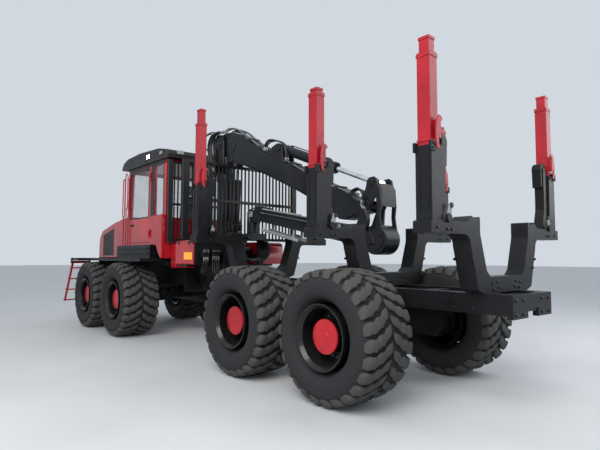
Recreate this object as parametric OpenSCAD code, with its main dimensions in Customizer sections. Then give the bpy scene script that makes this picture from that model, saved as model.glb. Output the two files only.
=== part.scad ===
// Eight-wheel forestry forwarder with its crane stowed between the stakes.
// Millimetres, +X forward, +Y left, +Z up. The modules measure X from the
// middle of the rear bogie, and place() then centres the whole machine.

/* [Wheels] */
// Outer radius of a tyre, out to the tips of its lugs
tyre_r = 750; // [700:5:780]
// Width of a tyre
tyre_w = 750; // [650:10:780]
// Radius of the rim under the tyre's bead
bead_r = 337; // [300:1:360]
// Wall of the rim
rim_wall = 22; // [14:1:30]
// Height of the rim's flange over the bead
flange_h = 26; // [18:1:34]
// Radius of the hub's round cover
hub_r = 188; // [150:1:220]
// Depth of the hub's cover behind the tyre's outer face
hub_recess = 115; // [60:5:200]
// Distance from the middle of the machine to the outer face of a tyre
track_half = 1505; // [1450:5:1560]
// Distance between the two wheels of a bogie
bogie_pitch = 1762; // [1600:2:1900]
// Distance between the rear and the front bogie
wheelbase = 6112; // [5600:4:6600]
// Gap between a tyre and the bogie's beam
bogie_gap = 40; // [25:5:60]
// Width of a bogie's beam
bogie_beam_w = 155; // [120:5:180]

/* [Frames] */
// X of the steering pivot
pivot_x = 4000; // [3950:5:4050]
// Top of the rear frame's beams
frame_top = 1250; // [1200:5:1300]
// Depth of the rear frame's beams
beam_h = 210; // [160:5:260]
// Outer half width of the rear frame
frame_half = 450; // [400:5:470]
// Width of a frame beam
beam_w = 150; // [100:5:200]
// X of the rear frame's end
rear_end = -2520; // [-2700:10:-2450]
// Top of the front frame
front_top = 1480; // [1420:5:1500]
// X of the front bumper's face
bumper_x = 8100; // [8000:10:8200]
// Top of the front bumper
bumper_top = 1600; // [1590:5:1610]
// Radius of the towing pin's bore
tow_r = 25; // [15:1:35]
// Distance of the rear towing bore from the frame's end
tow_in = 140; // [120:5:180]

/* [Bunk] */
// Thickness of a bunk rib along the machine
rib_t = 200; // [150:5:240]
// Depth of the rib's bottom beam
rib_beam_h = 170; // [120:5:220]
// Height of the rib's arms, measured to their top
arm_top = 1960; // [1900:5:2050]
// Depth of an arm
arm_h = 120; // [90:5:160]
// Half width inside the rib at its bottom
rib_in_low = 400; // [350:5:440]
// Half width inside the rib at the arms
rib_in_top = 545; // [500:5:600]
// Width of a rib's leg
leg_w = 235; // [180:5:280]
// Distance from the middle to the outer face of a stake
stake_out = 1365; // [1300:5:1400]
// Stake post, along and across the machine
post_x = 175; // [140:5:200]
post_y = 150; // [120:5:170]
// Red sleeve of a stake, along and across the machine
sleeve_x = 140; // [110:5:160]
sleeve_y = 120; // [90:5:140]
// Tip of a stake, along and across the machine
tip_x = 108; // [80:4:120]
tip_y = 90; // [60:5:100]

/* [Gate] */
// X of the middle of the gate
gate_x = 2720; // [2700:5:2740]
// Half width of the gate
gate_half = 1260; // [1150:10:1300]
// Lower edge of the gate
gate_low = 1915; // [1880:5:1960]
// Upper edge of the gate
gate_top = 3290; // [3200:5:3310]
// Distance between the gate's bars
gate_pitch = 82; // [70:1:100]
// Thickness of the gate along the machine
gate_t = 60; // [40:2:80]
// Room along the machine between the gate and the grapple's hanger
hanger_gap = 292; // [280:2:320]

/* [Cab] */
// X of the cab's rear and front walls
cab_rear = 4200; // [4180:5:4260]
cab_front = 6150; // [6100:5:6200]
// Half width of the cab
cab_half = 850; // [820:5:880]
// Underside of the cab's floor
cab_floor = 1860; // [1850:5:1900]
// Top of the cab's walls
cab_top = 3580; // [3500:5:3640]
// Thickness of the cab's walls and door
cab_wall = 50; // [40:1:70]
// Lower edge of the windows
sill_z = 2460; // [2400:5:2520]
// Rear and front edge of the door
door_rear = 4940; // [4900:5:5000]
door_front = 6020; // [5980:5:6040]
// Gap round the door
door_gap = 8; // [5:1:12]
// Height of the door's sill over the floor's underside
sill_h = 50; // [45:1:60]
// Thickness of the window glass
glass_t = 8; // [6:1:12]

/* [Hood] */
// X of the hood's front
hood_front = 8080; // [8000:5:8150]
// Half width of the hood
hood_half = 800; // [740:5:840]
// Wall of the hood
hood_wall = 25; // [15:1:40]
// Radius of the pins that the hood tilts on
hood_pin_r = 8; // [6:1:10]

/* [Crane] */
// X of the crane's pillar
pillar_x = 3350; // [3330:5:3370]
// Top of the crane's base
base_top = 1900; // [1850:5:1950]
// Radius of the pillar
pillar_r = 170; // [140:5:200]
// Boom pivot, X and Z
boom_x = 3350; // [3330:5:3370]
boom_z = 3800; // [3780:5:3820]
// Jib pivot at the boom's tip, X and Z
jib_x = -400; // [-420:5:-380]
jib_z = 2320; // [2300:5:2340]
// Half width of the boom
boom_half = 130; // [100:5:140]
// Slope of the stowed jib, in degrees
jib_slope = 10.7; // [9:0.1:12]
// Height and width of the jib's box
jib_h = 260; // [220:5:280]
jib_w = 220; // [180:5:240]

/* [Hidden] */
$fn = 64;
e = 0.5;
red = [0.72, 0.06, 0.10];
black = [0.13, 0.14, 0.15];
gloss = [0.04, 0.04, 0.05];
rubber = [0.20, 0.20, 0.19];
steel = [0.78, 0.79, 0.80];
pane = [0.62, 0.74, 0.78, 0.45];
amber = [0.95, 0.55, 0.05];

// Bunk ribs and their stakes: X, top of post, top of sleeve, top of tip
RIBS = [[2070, 2750, 3750, 3970], [-630, 2650, 3550, 3600], [-2150, 2650, 3540, 3690]];
rib_x_col = 0;
post_col = 1;
sleeve_col = 2;
tip_col = 3;

// Wheels: name, X, side
WHEELS = [
  ["1_left", wheelbase + bogie_pitch / 2, 1], ["2_left", wheelbase - bogie_pitch / 2, 1],
  ["3_left", bogie_pitch / 2, 1], ["4_left", -bogie_pitch / 2, 1],
  ["1_right", wheelbase + bogie_pitch / 2, -1], ["2_right", wheelbase - bogie_pitch / 2, -1],
  ["3_right", bogie_pitch / 2, -1], ["4_right", -bogie_pitch / 2, -1]
];

hub_z = tyre_r;
tyre_mid = track_half - tyre_w / 2;
disc_in = track_half - 605;
ladder_x = 7990;
ladder_z = 1500;
ladder_foot = 8560;
tread_out = 160;
front_end = ladder_foot + tread_out;
mid_x = (rear_end + front_end) / 2;

module place() translate([-mid_x, 0, 0]) children();

// A box between two corners
module slab(x0, x1, y0, y1, z0, z1) translate([x0, y0, z0]) cube([x1 - x0, y1 - y0, z1 - z0]);

module both_sides() {
  children();
  mirror([0, 1, 0]) children();
}

// An outline in X and Z, carried across the machine from y0 to y1
module side_plate(points, y0, y1)
  translate([0, y1, 0]) rotate([90, 0, 0]) linear_extrude(y1 - y0) polygon(points);

// An outline in Y and Z, carried along the machine from x0 to x1
module cross_plate(points, x0, x1)
  translate([x0, 0, 0]) rotate([90, 0, 90]) linear_extrude(x1 - x0) polygon(points);

// A round bar across the machine
module pin_y(x, z, y0, y1, r) translate([x, y1, z]) rotate([90, 0, 0]) cylinder(h = y1 - y0, r = r);

// A square bar between two points of one X and Z plane
module bar_xz(p, q, y0, y1, depth) {
  run = norm(q - p);
  translate([p[0], y0, p[1]]) rotate([0, -atan2(q[1] - p[1], q[0] - p[0]), 0])
    translate([0, 0, -depth / 2]) cube([run, y1 - y0, depth]);
}

// A round rod or barrel between two points of the machine's middle plane
module rod_xz(p, q, r) {
  run = norm(q - p);
  translate([p[0], 0, p[1]]) rotate([0, 90 - atan2(q[1] - p[1], q[0] - p[0]), 0])
    cylinder(h = run, r = r);
}

// Section of a tyre: radius, distance from its middle plane
module tyre_section() {
  shoulder = tyre_r - 45;
  half = tyre_w / 2;
  polygon([
    [bead_r, -half + 95], [bead_r + 40, -half + 60], [bead_r + 150, -half + 8],
    [bead_r + 230, -half], [shoulder - 40, -half + 18], [tyre_r - 12, -half + 70],
    [tyre_r, -half + 200], [tyre_r, half - 200], [tyre_r - 12, half - 70],
    [shoulder - 40, half - 18], [bead_r + 230, half], [bead_r + 150, half - 8],
    [bead_r + 40, half - 60], [bead_r, half - 95], [bead_r, 0]
  ]);
}

module tyre() color(rubber) rotate([-90, 0, 0]) rotate_extrude($fn = 96) tyre_section();

// Section of a rim with its web and hub: radius, distance outwards from the
// tyre's middle plane
module rim_section() {
  half = tyre_w / 2;
  in = bead_r - rim_wall;
  web = half - 345;
  polygon([
    [0, disc_in - tyre_mid], [hub_r, disc_in - tyre_mid], [hub_r, web - 20], [in - 40, web - 20],
    [in, web - 60], [in, -half + 60], [bead_r + flange_h, -half + 30],
    [bead_r + flange_h, -half + 58], [bead_r - e, -half + 94], [bead_r - e, half - 94],
    [bead_r + flange_h, half - 58], [bead_r + flange_h, half - 18], [bead_r + flange_h - 14, half - 18],
    [in, half - 60], [in - 10, web + 10], [hub_r, web + 4], [hub_r, half - hub_recess], [0, half - hub_recess]
  ]);
}

module rim() color(gloss) rotate([-90, 0, 0]) rotate_extrude($fn = 96) rim_section();

module at_wheel(w) translate([w[1], w[2] * tyre_mid, hub_z]) rotate([0, 0, w[2] > 0 ? 0 : 180]) children();

// Walking beams, their final drives and the axle that joins them
module bogies(x) {
  beam_out = track_half - tyre_w - bogie_gap;
  beam_in = beam_out - bogie_beam_w;
  color(black) translate([x, 0, 0]) {
    both_sides() {
      side_plate([
        [-1090, hub_z - 60], [-1000, hub_z - 190], [-300, hub_z - 160], [300, hub_z - 160],
        [1000, hub_z - 190], [1090, hub_z - 60], [1060, hub_z + 130], [840, hub_z + 190],
        [300, hub_z + 240], [-300, hub_z + 240], [-840, hub_z + 190], [-1060, hub_z + 130]
      ], beam_in, beam_out);
      for (s = [-1, 1]) pin_y(s * bogie_pitch / 2, hub_z, beam_out - 10, disc_in - e, 165);
    }
    pin_y(0, hub_z + 60, -beam_in - 5, beam_in + 5, 175);
    translate([0, 0, hub_z + 60]) sphere(r = 225);
  }
}

module rear_bogies() {
  bogies(0);
  color(black) slab(-220, 220, -frame_half, frame_half, hub_z + 150, frame_top - beam_h);
}

module front_bogies() {
  bogies(wheelbase);
  color(black) slab(wheelbase - 260, wheelbase + 260, -330, 330, hub_z + 150, front_top - 430);
}

module rear_frame() color(black) {
  low = frame_top - beam_h;
  both_sides() slab(rear_end, 2950, frame_half - beam_w, frame_half, low, frame_top);
  for (x = [-1400, -100, 1200]) slab(x, x + 160, -frame_half, frame_half, low + 20, frame_top - 20);
  difference() {
    slab(rear_end, rear_end + 60, -frame_half, frame_half, low - 30, frame_top);
    slab(rear_end - 5, rear_end + 65, -120, 120, low - 40, low + 60);
  }
  difference() {
    slab(rear_end + 10, rear_end + 260, -110, 110, low + 30, low + 80);
    translate([rear_end + tow_in, 0, low]) cylinder(h = 120, r = tow_r);
  }
  slab(rear_end + 250, -2100, -frame_half, frame_half, low + 20, frame_top - 20);
  difference() {
    translate([0, 0, low]) linear_extrude(beam_h) polygon([
      [2750, -frame_half], [3300, -400], [3600, -300], [pivot_x, -150],
      [pivot_x, 150], [3600, 300], [3300, 400], [2750, frame_half]
    ]);
    translate([pivot_x, 0, low - 10]) cylinder(h = beam_h + 20, r = 70.5);
  }
  difference() {
    translate([pivot_x, 0, low]) cylinder(h = beam_h, r = 150);
    translate([pivot_x, 0, low - 10]) cylinder(h = beam_h + 20, r = 70.5);
  }
}

// Outline of half a bunk rib, from the middle of its bottom beam outwards
function rib_half() = let(
  low = frame_top,
  arm_low = arm_top - arm_h,
  leg_out = rib_in_top + leg_w - 40,
  r = 110,
  c = [leg_out + r - 12, arm_low - r]
) concat(
  [[0, low], [frame_half + 25, low], [rib_in_low + leg_w - 40, low + 40], [leg_out - 18, c[1] - 20]],
  [for (a = [180:-15:90]) c + r * [cos(a), sin(a)]],
  [[stake_out + 35, arm_low], [stake_out + 35, arm_top - 15], [stake_out + 10, arm_top],
   [leg_out + 60, arm_top], [leg_out, arm_top + 45], [leg_out - 45, arm_top + 70],
   [leg_out - 75, arm_top + 40], [leg_out - 130, arm_top + 40], [rib_in_top + 15, arm_top + 65],
   [rib_in_top, arm_top + 55], [rib_in_top, arm_top - 110],
   [rib_in_low + 25, low + rib_beam_h + 60], [rib_in_low - 50, low + rib_beam_h], [0, low + rib_beam_h]]
);

module bunk_ribs() color(black)
  for (r = RIBS) both_sides() cross_plate(rib_half(), r[rib_x_col] - rib_t / 2, r[rib_x_col] + rib_t / 2);

module stake_posts() color(black)
  for (r = RIBS) both_sides() translate([r[rib_x_col], 0, 0]) {
    out = stake_out;
    difference() {
      cross_plate([
        [out, arm_top], [out, r[post_col]], [out - post_y, r[post_col]], [out - post_y - 20, arm_top]
      ], -post_x / 2, post_x / 2);
      slab(-tip_x / 2 - 10, tip_x / 2 + 10, out - post_y + 20, out - 20, r[post_col] - 60, r[post_col] + 5);
    }
    cross_plate([
      [out - post_y - 20, arm_top], [out - post_y - 5, r[post_col] - 40], [out - post_y - 60, r[post_col] + 60],
      [out - post_y - 115, r[post_col] + 20], [out - post_y - 110, arm_top + 260], [out - post_y - 190, arm_top]
    ], -65, 45);
    for (s = [-1, 1]) slab(s * post_x / 2 - 14, s * post_x / 2 + 14, out - 50, out + 22, r[post_col] - 60, r[post_col] + 30);
  }

module stake_sleeves() color(red)
  for (r = RIBS) both_sides() translate([r[rib_x_col], 0, 0]) {
    c = stake_out - post_y / 2;
    slab(-sleeve_x / 2, sleeve_x / 2, c - sleeve_y / 2, c + sleeve_y / 2, r[post_col], r[sleeve_col]);
    slab(-tip_x / 2, tip_x / 2, c - tip_y / 2, c + tip_y / 2, r[sleeve_col] - 5, r[tip_col]);
    slab(-tip_x / 2, tip_x / 2, c - tip_y / 2, c + tip_y / 2, r[post_col] - 59, r[post_col] + 5);
  }

// Posts that carry the gate
module gate_posts() color(black) both_sides()
  slab(gate_x - gate_t / 2, gate_x + gate_t / 2, 320, 440, frame_top + e, gate_low - e);

module gate() color(black) {
  x0 = gate_x - gate_t / 2;
  x1 = gate_x + gate_t / 2;
  mid = (gate_low + gate_top) / 2 - 10;
  for (z = [gate_low, mid, gate_top - 50]) slab(x0, x1, -gate_half, gate_half, z, z + 50);
  both_sides() slab(x0, x1, gate_half - 110, gate_half, gate_low, gate_top);
  for (y = [-gate_half + 160:gate_pitch:gate_half - 150])
    slab(gate_x - 12, gate_x + 12, y, y + 24, gate_low + 20, gate_top - 20);
}

module side_boxes() color(red) both_sides() difference() {
  side_plate([
    [2785, 1480], [3460, 1480], [3460, 1860], [3400, 1905], [2900, 1905], [2785, 1800]
  ], 460, 1000);
  side_plate([[2900, 1600], [3000, 1560], [3200, 1560], [3300, 1600], [3200, 1680], [3000, 1680]], 960, 1005);
}

module crane_base() color(black) {
  slab(3000, 3600, -380, 380, frame_top, frame_top + 230);
  translate([pillar_x, 0, frame_top]) cylinder(h = base_top - frame_top, r = 245);
  both_sides() slab(3080, 3440, 240, 960, 1440, 1480);
  for (x = [3120, 3480]) pin_y(x, base_top - 180, -420, 420, 85);
}

// Axis that the hood tilts on, in front of its lower edge: X and Z
HOOD_AXIS = [hood_front + 16, bumper_top + 16];
HOOD_HINGES = [-400, 300];
hood_hinge_len = 100;

module front_frame() color(black) {
  difference() {
    slab(4250, bumper_x - 60, -400, 400, front_top - 430, front_top);
    slab(6450, 7850, -260, 260, front_top - 400, front_top + 10);
  }
  slab(4165, 4260, -400, 400, 900, front_top);
  low = frame_top - beam_h;
  for (z = [low - 81, frame_top + 1]) {
    translate([pivot_x, 0, z]) cylinder(h = 80, r = 145);
    slab(pivot_x, 4170, -145, 145, z, z + 80);
  }
  translate([pivot_x, 0, low - 81]) cylinder(h = beam_h + 162, r = 70);
  difference() {
    slab(bumper_x - 60, bumper_x, -800, 800, 1120, bumper_top);
    slab(bumper_x - 70, bumper_x + 10, -300, 300, 1250, 1420);
  }
  difference() {
    slab(bumper_x - 65, bumper_x + 90, -70, 70, 1140, 1190);
    translate([bumper_x + 40, 0, 1130]) cylinder(h = 70, r = tow_r);
  }
  for (y = HOOD_HINGES) {
    for (ear = [y - e - 14, y + hood_hinge_len + e]) {
      pin_y(HOOD_AXIS[0], HOOD_AXIS[1], ear, ear + 14, hood_pin_r + 6);
      slab(HOOD_AXIS[0] - 12, HOOD_AXIS[0] + 4, ear, ear + 14, bumper_top - 5, HOOD_AXIS[1]);
    }
    pin_y(HOOD_AXIS[0], HOOD_AXIS[1], y - 10, y + hood_hinge_len + 10, hood_pin_r);
  }
}

// Side outline of the cab's shell
function cab_side(inset) = [
  [cab_rear + inset, cab_floor + inset], [cab_front - inset, cab_floor + inset],
  [cab_front - inset, sill_z], [cab_front - 60 - inset, cab_top - inset],
  [cab_rear + inset, cab_top - inset]
];

module cab_shell() color(red) {
  cab_box();
  for (z = HINGE_Z) for (down = [z - 40 - e, z + hinge_len + e]) {
    translate([hinge_x, hinge_y, down]) cylinder(h = 40, r = hinge_r);
    slab(hinge_x - 50, hinge_x, cab_half - 1, hinge_y, down, down + 40);
  }
}

module cab_box() difference() {
  side_plate(cab_side(0), -cab_half, cab_half);
  side_plate(cab_side(cab_wall), -cab_half + cab_wall, cab_half - cab_wall);
  // the door's opening and the small window behind it
  slab(door_rear, door_front, cab_half - cab_wall - 1, cab_half + 1, cab_floor + sill_h, cab_top - 60);
  both_sides() slab(4330, 4720, cab_half - cab_wall - 1, cab_half + 1, sill_z, cab_top - 90);
  slab(door_rear, door_front - 30, -cab_half - 1, -cab_half + cab_wall + 1, sill_z, cab_top - 90);
  // rear window and windscreen
  slab(cab_rear - 1, cab_rear + cab_wall + 1, -700, 700, sill_z - 60, cab_top - 90);
  slab(cab_front - 250, cab_front + 1, -740, 740, sill_z + 30, cab_top - 90);
}

// Work lamps in the roof's edges: X, Y and Z ranges on the left side
LAMPS = [
  [6300, 6405, 150, 310, cab_top + 60, cab_top + 160], [6300, 6405, 520, 680, cab_top + 60, cab_top + 160],
  [4900, 5060, 840, 897, cab_top + 90, cab_top + 180], [4300, 4460, 840, 897, cab_top + 90, cab_top + 180],
  [4046, 4120, 560, 700, cab_top + 85, cab_top + 155]
];
// A lamp's box, with a clearance round it and its face moved out
module lamp_box(l, c, out) slab(
  l[0] - c - (l[1] < 4200 ? out : 0), l[1] + c + (l[0] > 6000 ? out : 0),
  l[2] - c, l[3] + c + (l[2] > 800 ? out : 0), l[4] - c, l[5] + c);

module cab_roof() color(black) difference() {
  side_plate([
    [4060, cab_top], [6240, cab_top], [6400, cab_top + 20], [6430, cab_top + 70], [6330, cab_top + 180],
    [6100, cab_top + 250], [5400, cab_top + 280], [4500, cab_top + 240], [4100, cab_top + 160],
    [4050, cab_top + 80]
  ], -890, 890);
  both_sides() for (l = LAMPS) lamp_box(l, e, 100);
}

module cab_glass() color(pane) {
  y = cab_half - cab_wall / 2;
  both_sides() slab(4330, 4720, y, y + glass_t, sill_z, cab_top - 90);
  slab(door_rear, door_front - 30, -y - glass_t, -y, sill_z, cab_top - 90);
  slab(cab_rear + 20, cab_rear + 20 + glass_t, -700, 700, sill_z - 60, cab_top - 90);
  intersection() {
    side_plate([
      [cab_front - 30, sill_z], [cab_front - 30 + glass_t, sill_z],
      [cab_front - 90 + glass_t, cab_top], [cab_front - 90, cab_top]
    ], -740, 740);
    slab(cab_front - 250, cab_front, -740, 740, sill_z + 30, cab_top - 90);
  }
}

module cab_guard() color(black) {
  x0 = cab_rear - 90;
  for (z = [1930, 2640, 3480]) slab(x0, x0 + 40, -790, 790, z, z + 40);
  for (y = [-790:79:790]) slab(x0 + 5, x0 + 30, y - 10, y + 10, 1930, 3520);
  both_sides() for (z = [1930, 3480]) slab(x0, cab_rear, 760, 790, z, z + 40);
}

hinge_x = door_rear - 10;
hinge_y = cab_half + 22;
hinge_r = 16;
HINGE_Z = [2050, 3250];
hinge_len = 90;

module cab_door() color(red) {
  g = door_gap;
  difference() {
    slab(door_rear + g, door_front - g, cab_half - cab_wall, cab_half, cab_floor + sill_h + g, cab_top - 60 - g);
    slab(door_rear + g + 70, door_front - g - 70, cab_half - cab_wall - 1, cab_half + 1, sill_z, cab_top - 140);
  }
  for (z = HINGE_Z) {
    translate([hinge_x, hinge_y, z]) cylinder(h = hinge_len, r = hinge_r);
    slab(hinge_x, door_rear + g + 60, cab_half, cab_half + 16, z + 5, z + hinge_len - 5);
  }
  // grab rail on the front stile
  translate([door_front - g - 35, cab_half + 45, 2680]) cylinder(h = 700, r = 12);
  for (z = [2690, 3350]) slab(door_front - g - 47, door_front - g - 23, cab_half - 1, cab_half + 45, z, z + 24);
}

module door_glass() color(pane) {
  g = door_gap;
  slab(door_rear + g + 70, door_front - g - 70, cab_half - 25, cab_half - 25 + glass_t, sill_z, cab_top - 140);
}

module seat() color(gloss) {
  slab(4900, 5400, -250, 250, cab_floor + cab_wall, 2100);
  slab(4820, 5400, -280, 280, 2100, 2260);
  side_plate([[4680, 2180], [4860, 2180], [4780, 2920], [4640, 2920]], -260, 260);
  side_plate([[4650, 2920], [4740, 2920], [4730, 3150], [4650, 3150]], -130, 130);
  both_sides() slab(4850, 5480, 300, 430, 2400, 2490);
  both_sides() slab(4900, 4960, 278, 330, 2150, 2420);
}

hood_low = bumper_top + e;
// Side outline of the hood, drawn in by a wall
function hood_side(w) = [
  [6190 + w, hood_low - w], [hood_front - w, hood_low - w], [hood_front - w, 1950],
  [hood_front - 60 - w * 0.7, 2130 - w * 0.6], [hood_front - 220, 2260 - w],
  [7100, 2420 - w], [6500, 2500 - w], [6190 + w, 2520 - w]
];

module hood() color(red) {
  hood_cover();
  for (y = HOOD_HINGES) difference() {
    union() {
      pin_y(HOOD_AXIS[0], HOOD_AXIS[1], y, y + hood_hinge_len, hood_pin_r + 5);
      slab(hood_front - 2, HOOD_AXIS[0] - hood_pin_r - 1, y, y + hood_hinge_len, HOOD_AXIS[1] - 10, HOOD_AXIS[1] + 10);
    }
    pin_y(HOOD_AXIS[0], HOOD_AXIS[1], y - 1, y + hood_hinge_len + 1, hood_pin_r + 0.05);
  }
}

module hood_cover() difference() {
  side_plate(hood_side(0), -hood_half, hood_half);
  side_plate(hood_side(hood_wall), -hood_half + hood_wall, hood_half - hood_wall);
  both_sides() side_plate([[7080, 1640], [7800, 1640], [7800, 2150], [7080, 2300]], hood_half - hood_wall - 1, hood_half + 1);
  slab(hood_front - 60, hood_front + 1, -560, 560, 1700, 1930);
}

module hood_grille() color(black) {
  both_sides() {
    side_plate([[7080, 1640], [7800, 1640], [7800, 2150], [7080, 2300]], hood_half - 20, hood_half - 6);
    for (z = [1690:70:2110]) slab(7100, 7790, hood_half - 6, hood_half + 4, z, z + 28);
  }
  slab(hood_front - 20, hood_front - 6, -560, 560, 1700, 1930);
}

module engine() color(steel) slab(6500, 7600, -380, 380, front_top, 2060);

module decks() color(black) both_sides() {
  slab(4340, 7950, 460, 1300, 1522, 1582);
  slab(4700, 6150, 700, cab_half + 90, 1582, cab_floor);
  slab(6150, 6480, hood_half + 5, cab_half + 90, 1582, cab_floor);
  for (z = [1680, 1780]) slab(4760, 6420, cab_half + 90, cab_half + 120, z, z + 18);
  slab(7500, 7950, 1080, 1490, 1522, 1582);
  for (y = [1062, 1491]) slab(7900, ladder_x + 25, y, y + 14, ladder_z - 55, 1582);
  slab(7900, 7950, 1062, 1505, 1522, 1582);
  pin_y(ladder_x, ladder_z - 20, 1063, 1504, 14.5);
  slab(4260, 7900, 400, 460, 1380, 1582);
  for (x = [4300, 6100, 7700]) slab(x, x + 80, 460, 735, 1440, 1522);
}

module rear_tank() {
  color(red) both_sides() {
    slab(3960, 4165, 330, 740, 1400, cab_floor);
    slab(4200, 4700, 700, cab_half + 90, 1582, cab_floor);
    slab(4200, 4700, cab_half, cab_half + 90, cab_floor, 2440);
  }
  color(red) slab(3960, 4165, -740, 740, 1600, cab_floor);
}

// A closed loop of tube in an X and Z plane, on a stem down to the deck
module hoop(x, y, low, high) translate([x, y, 0]) {
  for (s = [-1, 1]) translate([s * 55, 0, low]) cylinder(h = high - low, r = 12);
  translate([0, 0, high]) rotate([90, 0, 0]) rotate_extrude(angle = 180) translate([55, 0]) circle(12);
  translate([0, 0, low]) rotate([-90, 0, 0]) rotate_extrude(angle = 180) translate([55, 0]) circle(12);
  translate([0, 0, cab_floor]) cylinder(h = low - 55 - cab_floor, r = 14);
}

module handrails() color(red) both_sides() {
  hoop(6235, 905, 2560, 3330);
}

module work_lamps() color(steel) both_sides() for (l = LAMPS) lamp_box(l, 0, 0);

module ladder() color(red) {
  top = [ladder_x, ladder_z - 20];
  foot = [ladder_foot, 500];
  way = (foot - top) / norm(foot - top);
  difference() {
    pin_y(top[0], top[1], 1080, 1490, 34);
    pin_y(top[0], top[1], 1070, 1500, 15);
  }
  for (y = [1090, 1440]) bar_xz(top + 24 * way, foot, y, y + 40, 50);
  for (i = [0:3]) {
    p = foot + (top - foot) * i / 3.6;
    slab(p[0] - 25, p[0] + tread_out, 1110, 1460, p[1], p[1] + 30);
  }
}

ear_in = 92;
module crane_pillar() color(black) {
  difference() {
    union() {
      translate([pillar_x, 0, base_top + e]) cylinder(h = 60, r = 245);
      translate([pillar_x, 0, base_top + 40]) cylinder(h = 1440, r = pillar_r);
      both_sides() side_plate([
        [pillar_x - 190, 3250], [pillar_x + 200, 3250], [pillar_x + 190, 3950],
        [pillar_x + 60, 4010], [pillar_x - 60, 4010], [pillar_x - 190, 3900]
      ], boom_half + 15, boom_half + 55);
      slab(pillar_x - 190, pillar_x + 200, -boom_half - 55, boom_half + 55, 3230, 3390);
    }
    pin_y(boom_x, boom_z, -300, 300, 60.05);
  }
  both_sides() side_plate([[2940, 2120], [3220, 2080], [3220, 2320], [2960, 2280]], ear_in, ear_in + 30);
}

module boom() color(black) {
  difference() {
    union() {
      side_plate([
        [boom_x + 190, boom_z - 60], [boom_x + 150, boom_z + 130], [boom_x, boom_z + 195],
        [3100, 3955], [2150, 3640], [1700, 3420], [1000, 3040], [-300, 2490], [-480, 2370],
        [-480, 2250], [-380, 2180], [-100, 2150], [240, 2230], [1020, 2680], [2000, 3090],
        [2850, 3440], [boom_x - 60, boom_z - 195], [boom_x + 90, boom_z - 190]
      ], -boom_half, boom_half);
      both_sides() side_plate([[1800, 3400], [1350, 3150], [1420, 3480], [1560, 3540], [1680, 3520]], ear_in, ear_in + 37);
    }
    slab(2780, 3080, -70, 70, 3200, 3560);
    pin_y(jib_x, jib_z, -300, 300, 45.05);
  }
  pin_y(boom_x, boom_z, -boom_half - 60, boom_half + 60, 60);
}

jib_dir = [cos(jib_slope), sin(jib_slope)];
jib_nor = [-sin(jib_slope), cos(jib_slope)];
heel = [-520, 1850];
function on_jib(run, up) = heel + run * jib_dir + up * jib_nor;
hanger_run = (gate_x - hanger_gap - heel[0]) / cos(jib_slope);
jib_len = hanger_run - 180;
hanger_at = on_jib(hanger_run, 0);

module jib() color(black) {
  difference() {
    union() {
      side_plate([
        on_jib(-150, -60), on_jib(-60, -jib_h / 2), on_jib(jib_len, -jib_h / 2 + 30),
        on_jib(jib_len, jib_h / 2 - 30), on_jib(300, jib_h / 2), on_jib(-60, jib_h / 2), on_jib(-150, 80)
      ], -jib_w / 2, jib_w / 2);
      // heel drum and the two arms that hold it under the boom's tip
      pin_y(-540, 1850, -150, 150, 200);
      both_sides() side_plate([
        [-760, 1800], [-330, 1800], [-300, 2060], [-300, 2400], [-400, 2680], [-560, 2700],
        [-640, 2560], [-640, 2200]
      ], boom_half + 12, boom_half + 47);
    }
    side_plate([
      on_jib(200, -jib_h / 2 + 55), on_jib(jib_len + 5, -jib_h / 2 + 55),
      on_jib(jib_len + 5, jib_h / 2 - 55), on_jib(200, jib_h / 2 - 55)
    ], -jib_w / 2 + 25, jib_w / 2 - 25);
  }
  pin_y(jib_x, jib_z, -boom_half - 50, boom_half + 50, 45);
}

module jib_extension() color(black) difference() {
  union() {
    side_plate([
      on_jib(600, -jib_h / 2 + 56), on_jib(jib_len + 60, -jib_h / 2 + 56),
      on_jib(jib_len + 60, jib_h / 2 - 56), on_jib(600, jib_h / 2 - 56)
    ], -jib_w / 2 + 26, jib_w / 2 - 26);
    both_sides() side_plate([
      on_jib(jib_len + 30, -70), on_jib(hanger_run + 40, -55), on_jib(hanger_run + 70, 0),
      on_jib(hanger_run + 40, 55), on_jib(jib_len + 30, 70)
    ], 50, 80);
  }
  pin_y(hanger_at[0], hanger_at[1], -100, 100, 25.05);
}

// A cylinder's barrel from its foot's eye, bored for its rod
module barrel(foot, dir, start, len, bore_from, r, bore_r, half) {
  difference() {
    union() {
      rod_xz(foot + start * dir, foot + len * dir, r);
      pin_y(foot[0], foot[1], -half, half, r - 4);
    }
    rod_xz(foot + bore_from * dir, foot + (len + 10) * dir, bore_r);
  }
}

lift_foot = [3020, 2200];
lift_eye = [2960, 3340];
lift_run = norm(lift_eye - lift_foot);
lift_dir = (lift_eye - lift_foot) / lift_run;
lift_rod_r = 48;
module lift_cylinder() color(black)
  barrel(lift_foot, lift_dir, 0, 870, 100, 84, lift_rod_r + e, ear_in - e);
module lift_rod() color(steel) {
  rod_xz(lift_foot + 105 * lift_dir, lift_foot + (lift_run - 50) * lift_dir, lift_rod_r);
  pin_y(lift_eye[0], lift_eye[1], -55, 55, 70);
}

jibcyl_foot = [1550, 3440];
jibcyl_eye = [-500, 2620];
jibcyl_run = norm(jibcyl_eye - jibcyl_foot);
jibcyl_dir = (jibcyl_eye - jibcyl_foot) / jibcyl_run;
jib_rod_r = 38;
module jib_cylinder() color(black)
  barrel(jibcyl_foot, jibcyl_dir, 0, 1330, 330, 80, jib_rod_r + e, ear_in - e);
module jib_rod() color(steel) {
  rod_xz(jibcyl_foot + 1230 * jibcyl_dir, jibcyl_foot + (jibcyl_run - 50) * jibcyl_dir, jib_rod_r);
  pin_y(jibcyl_eye[0], jibcyl_eye[1], -60, 60, 62);
}

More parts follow.
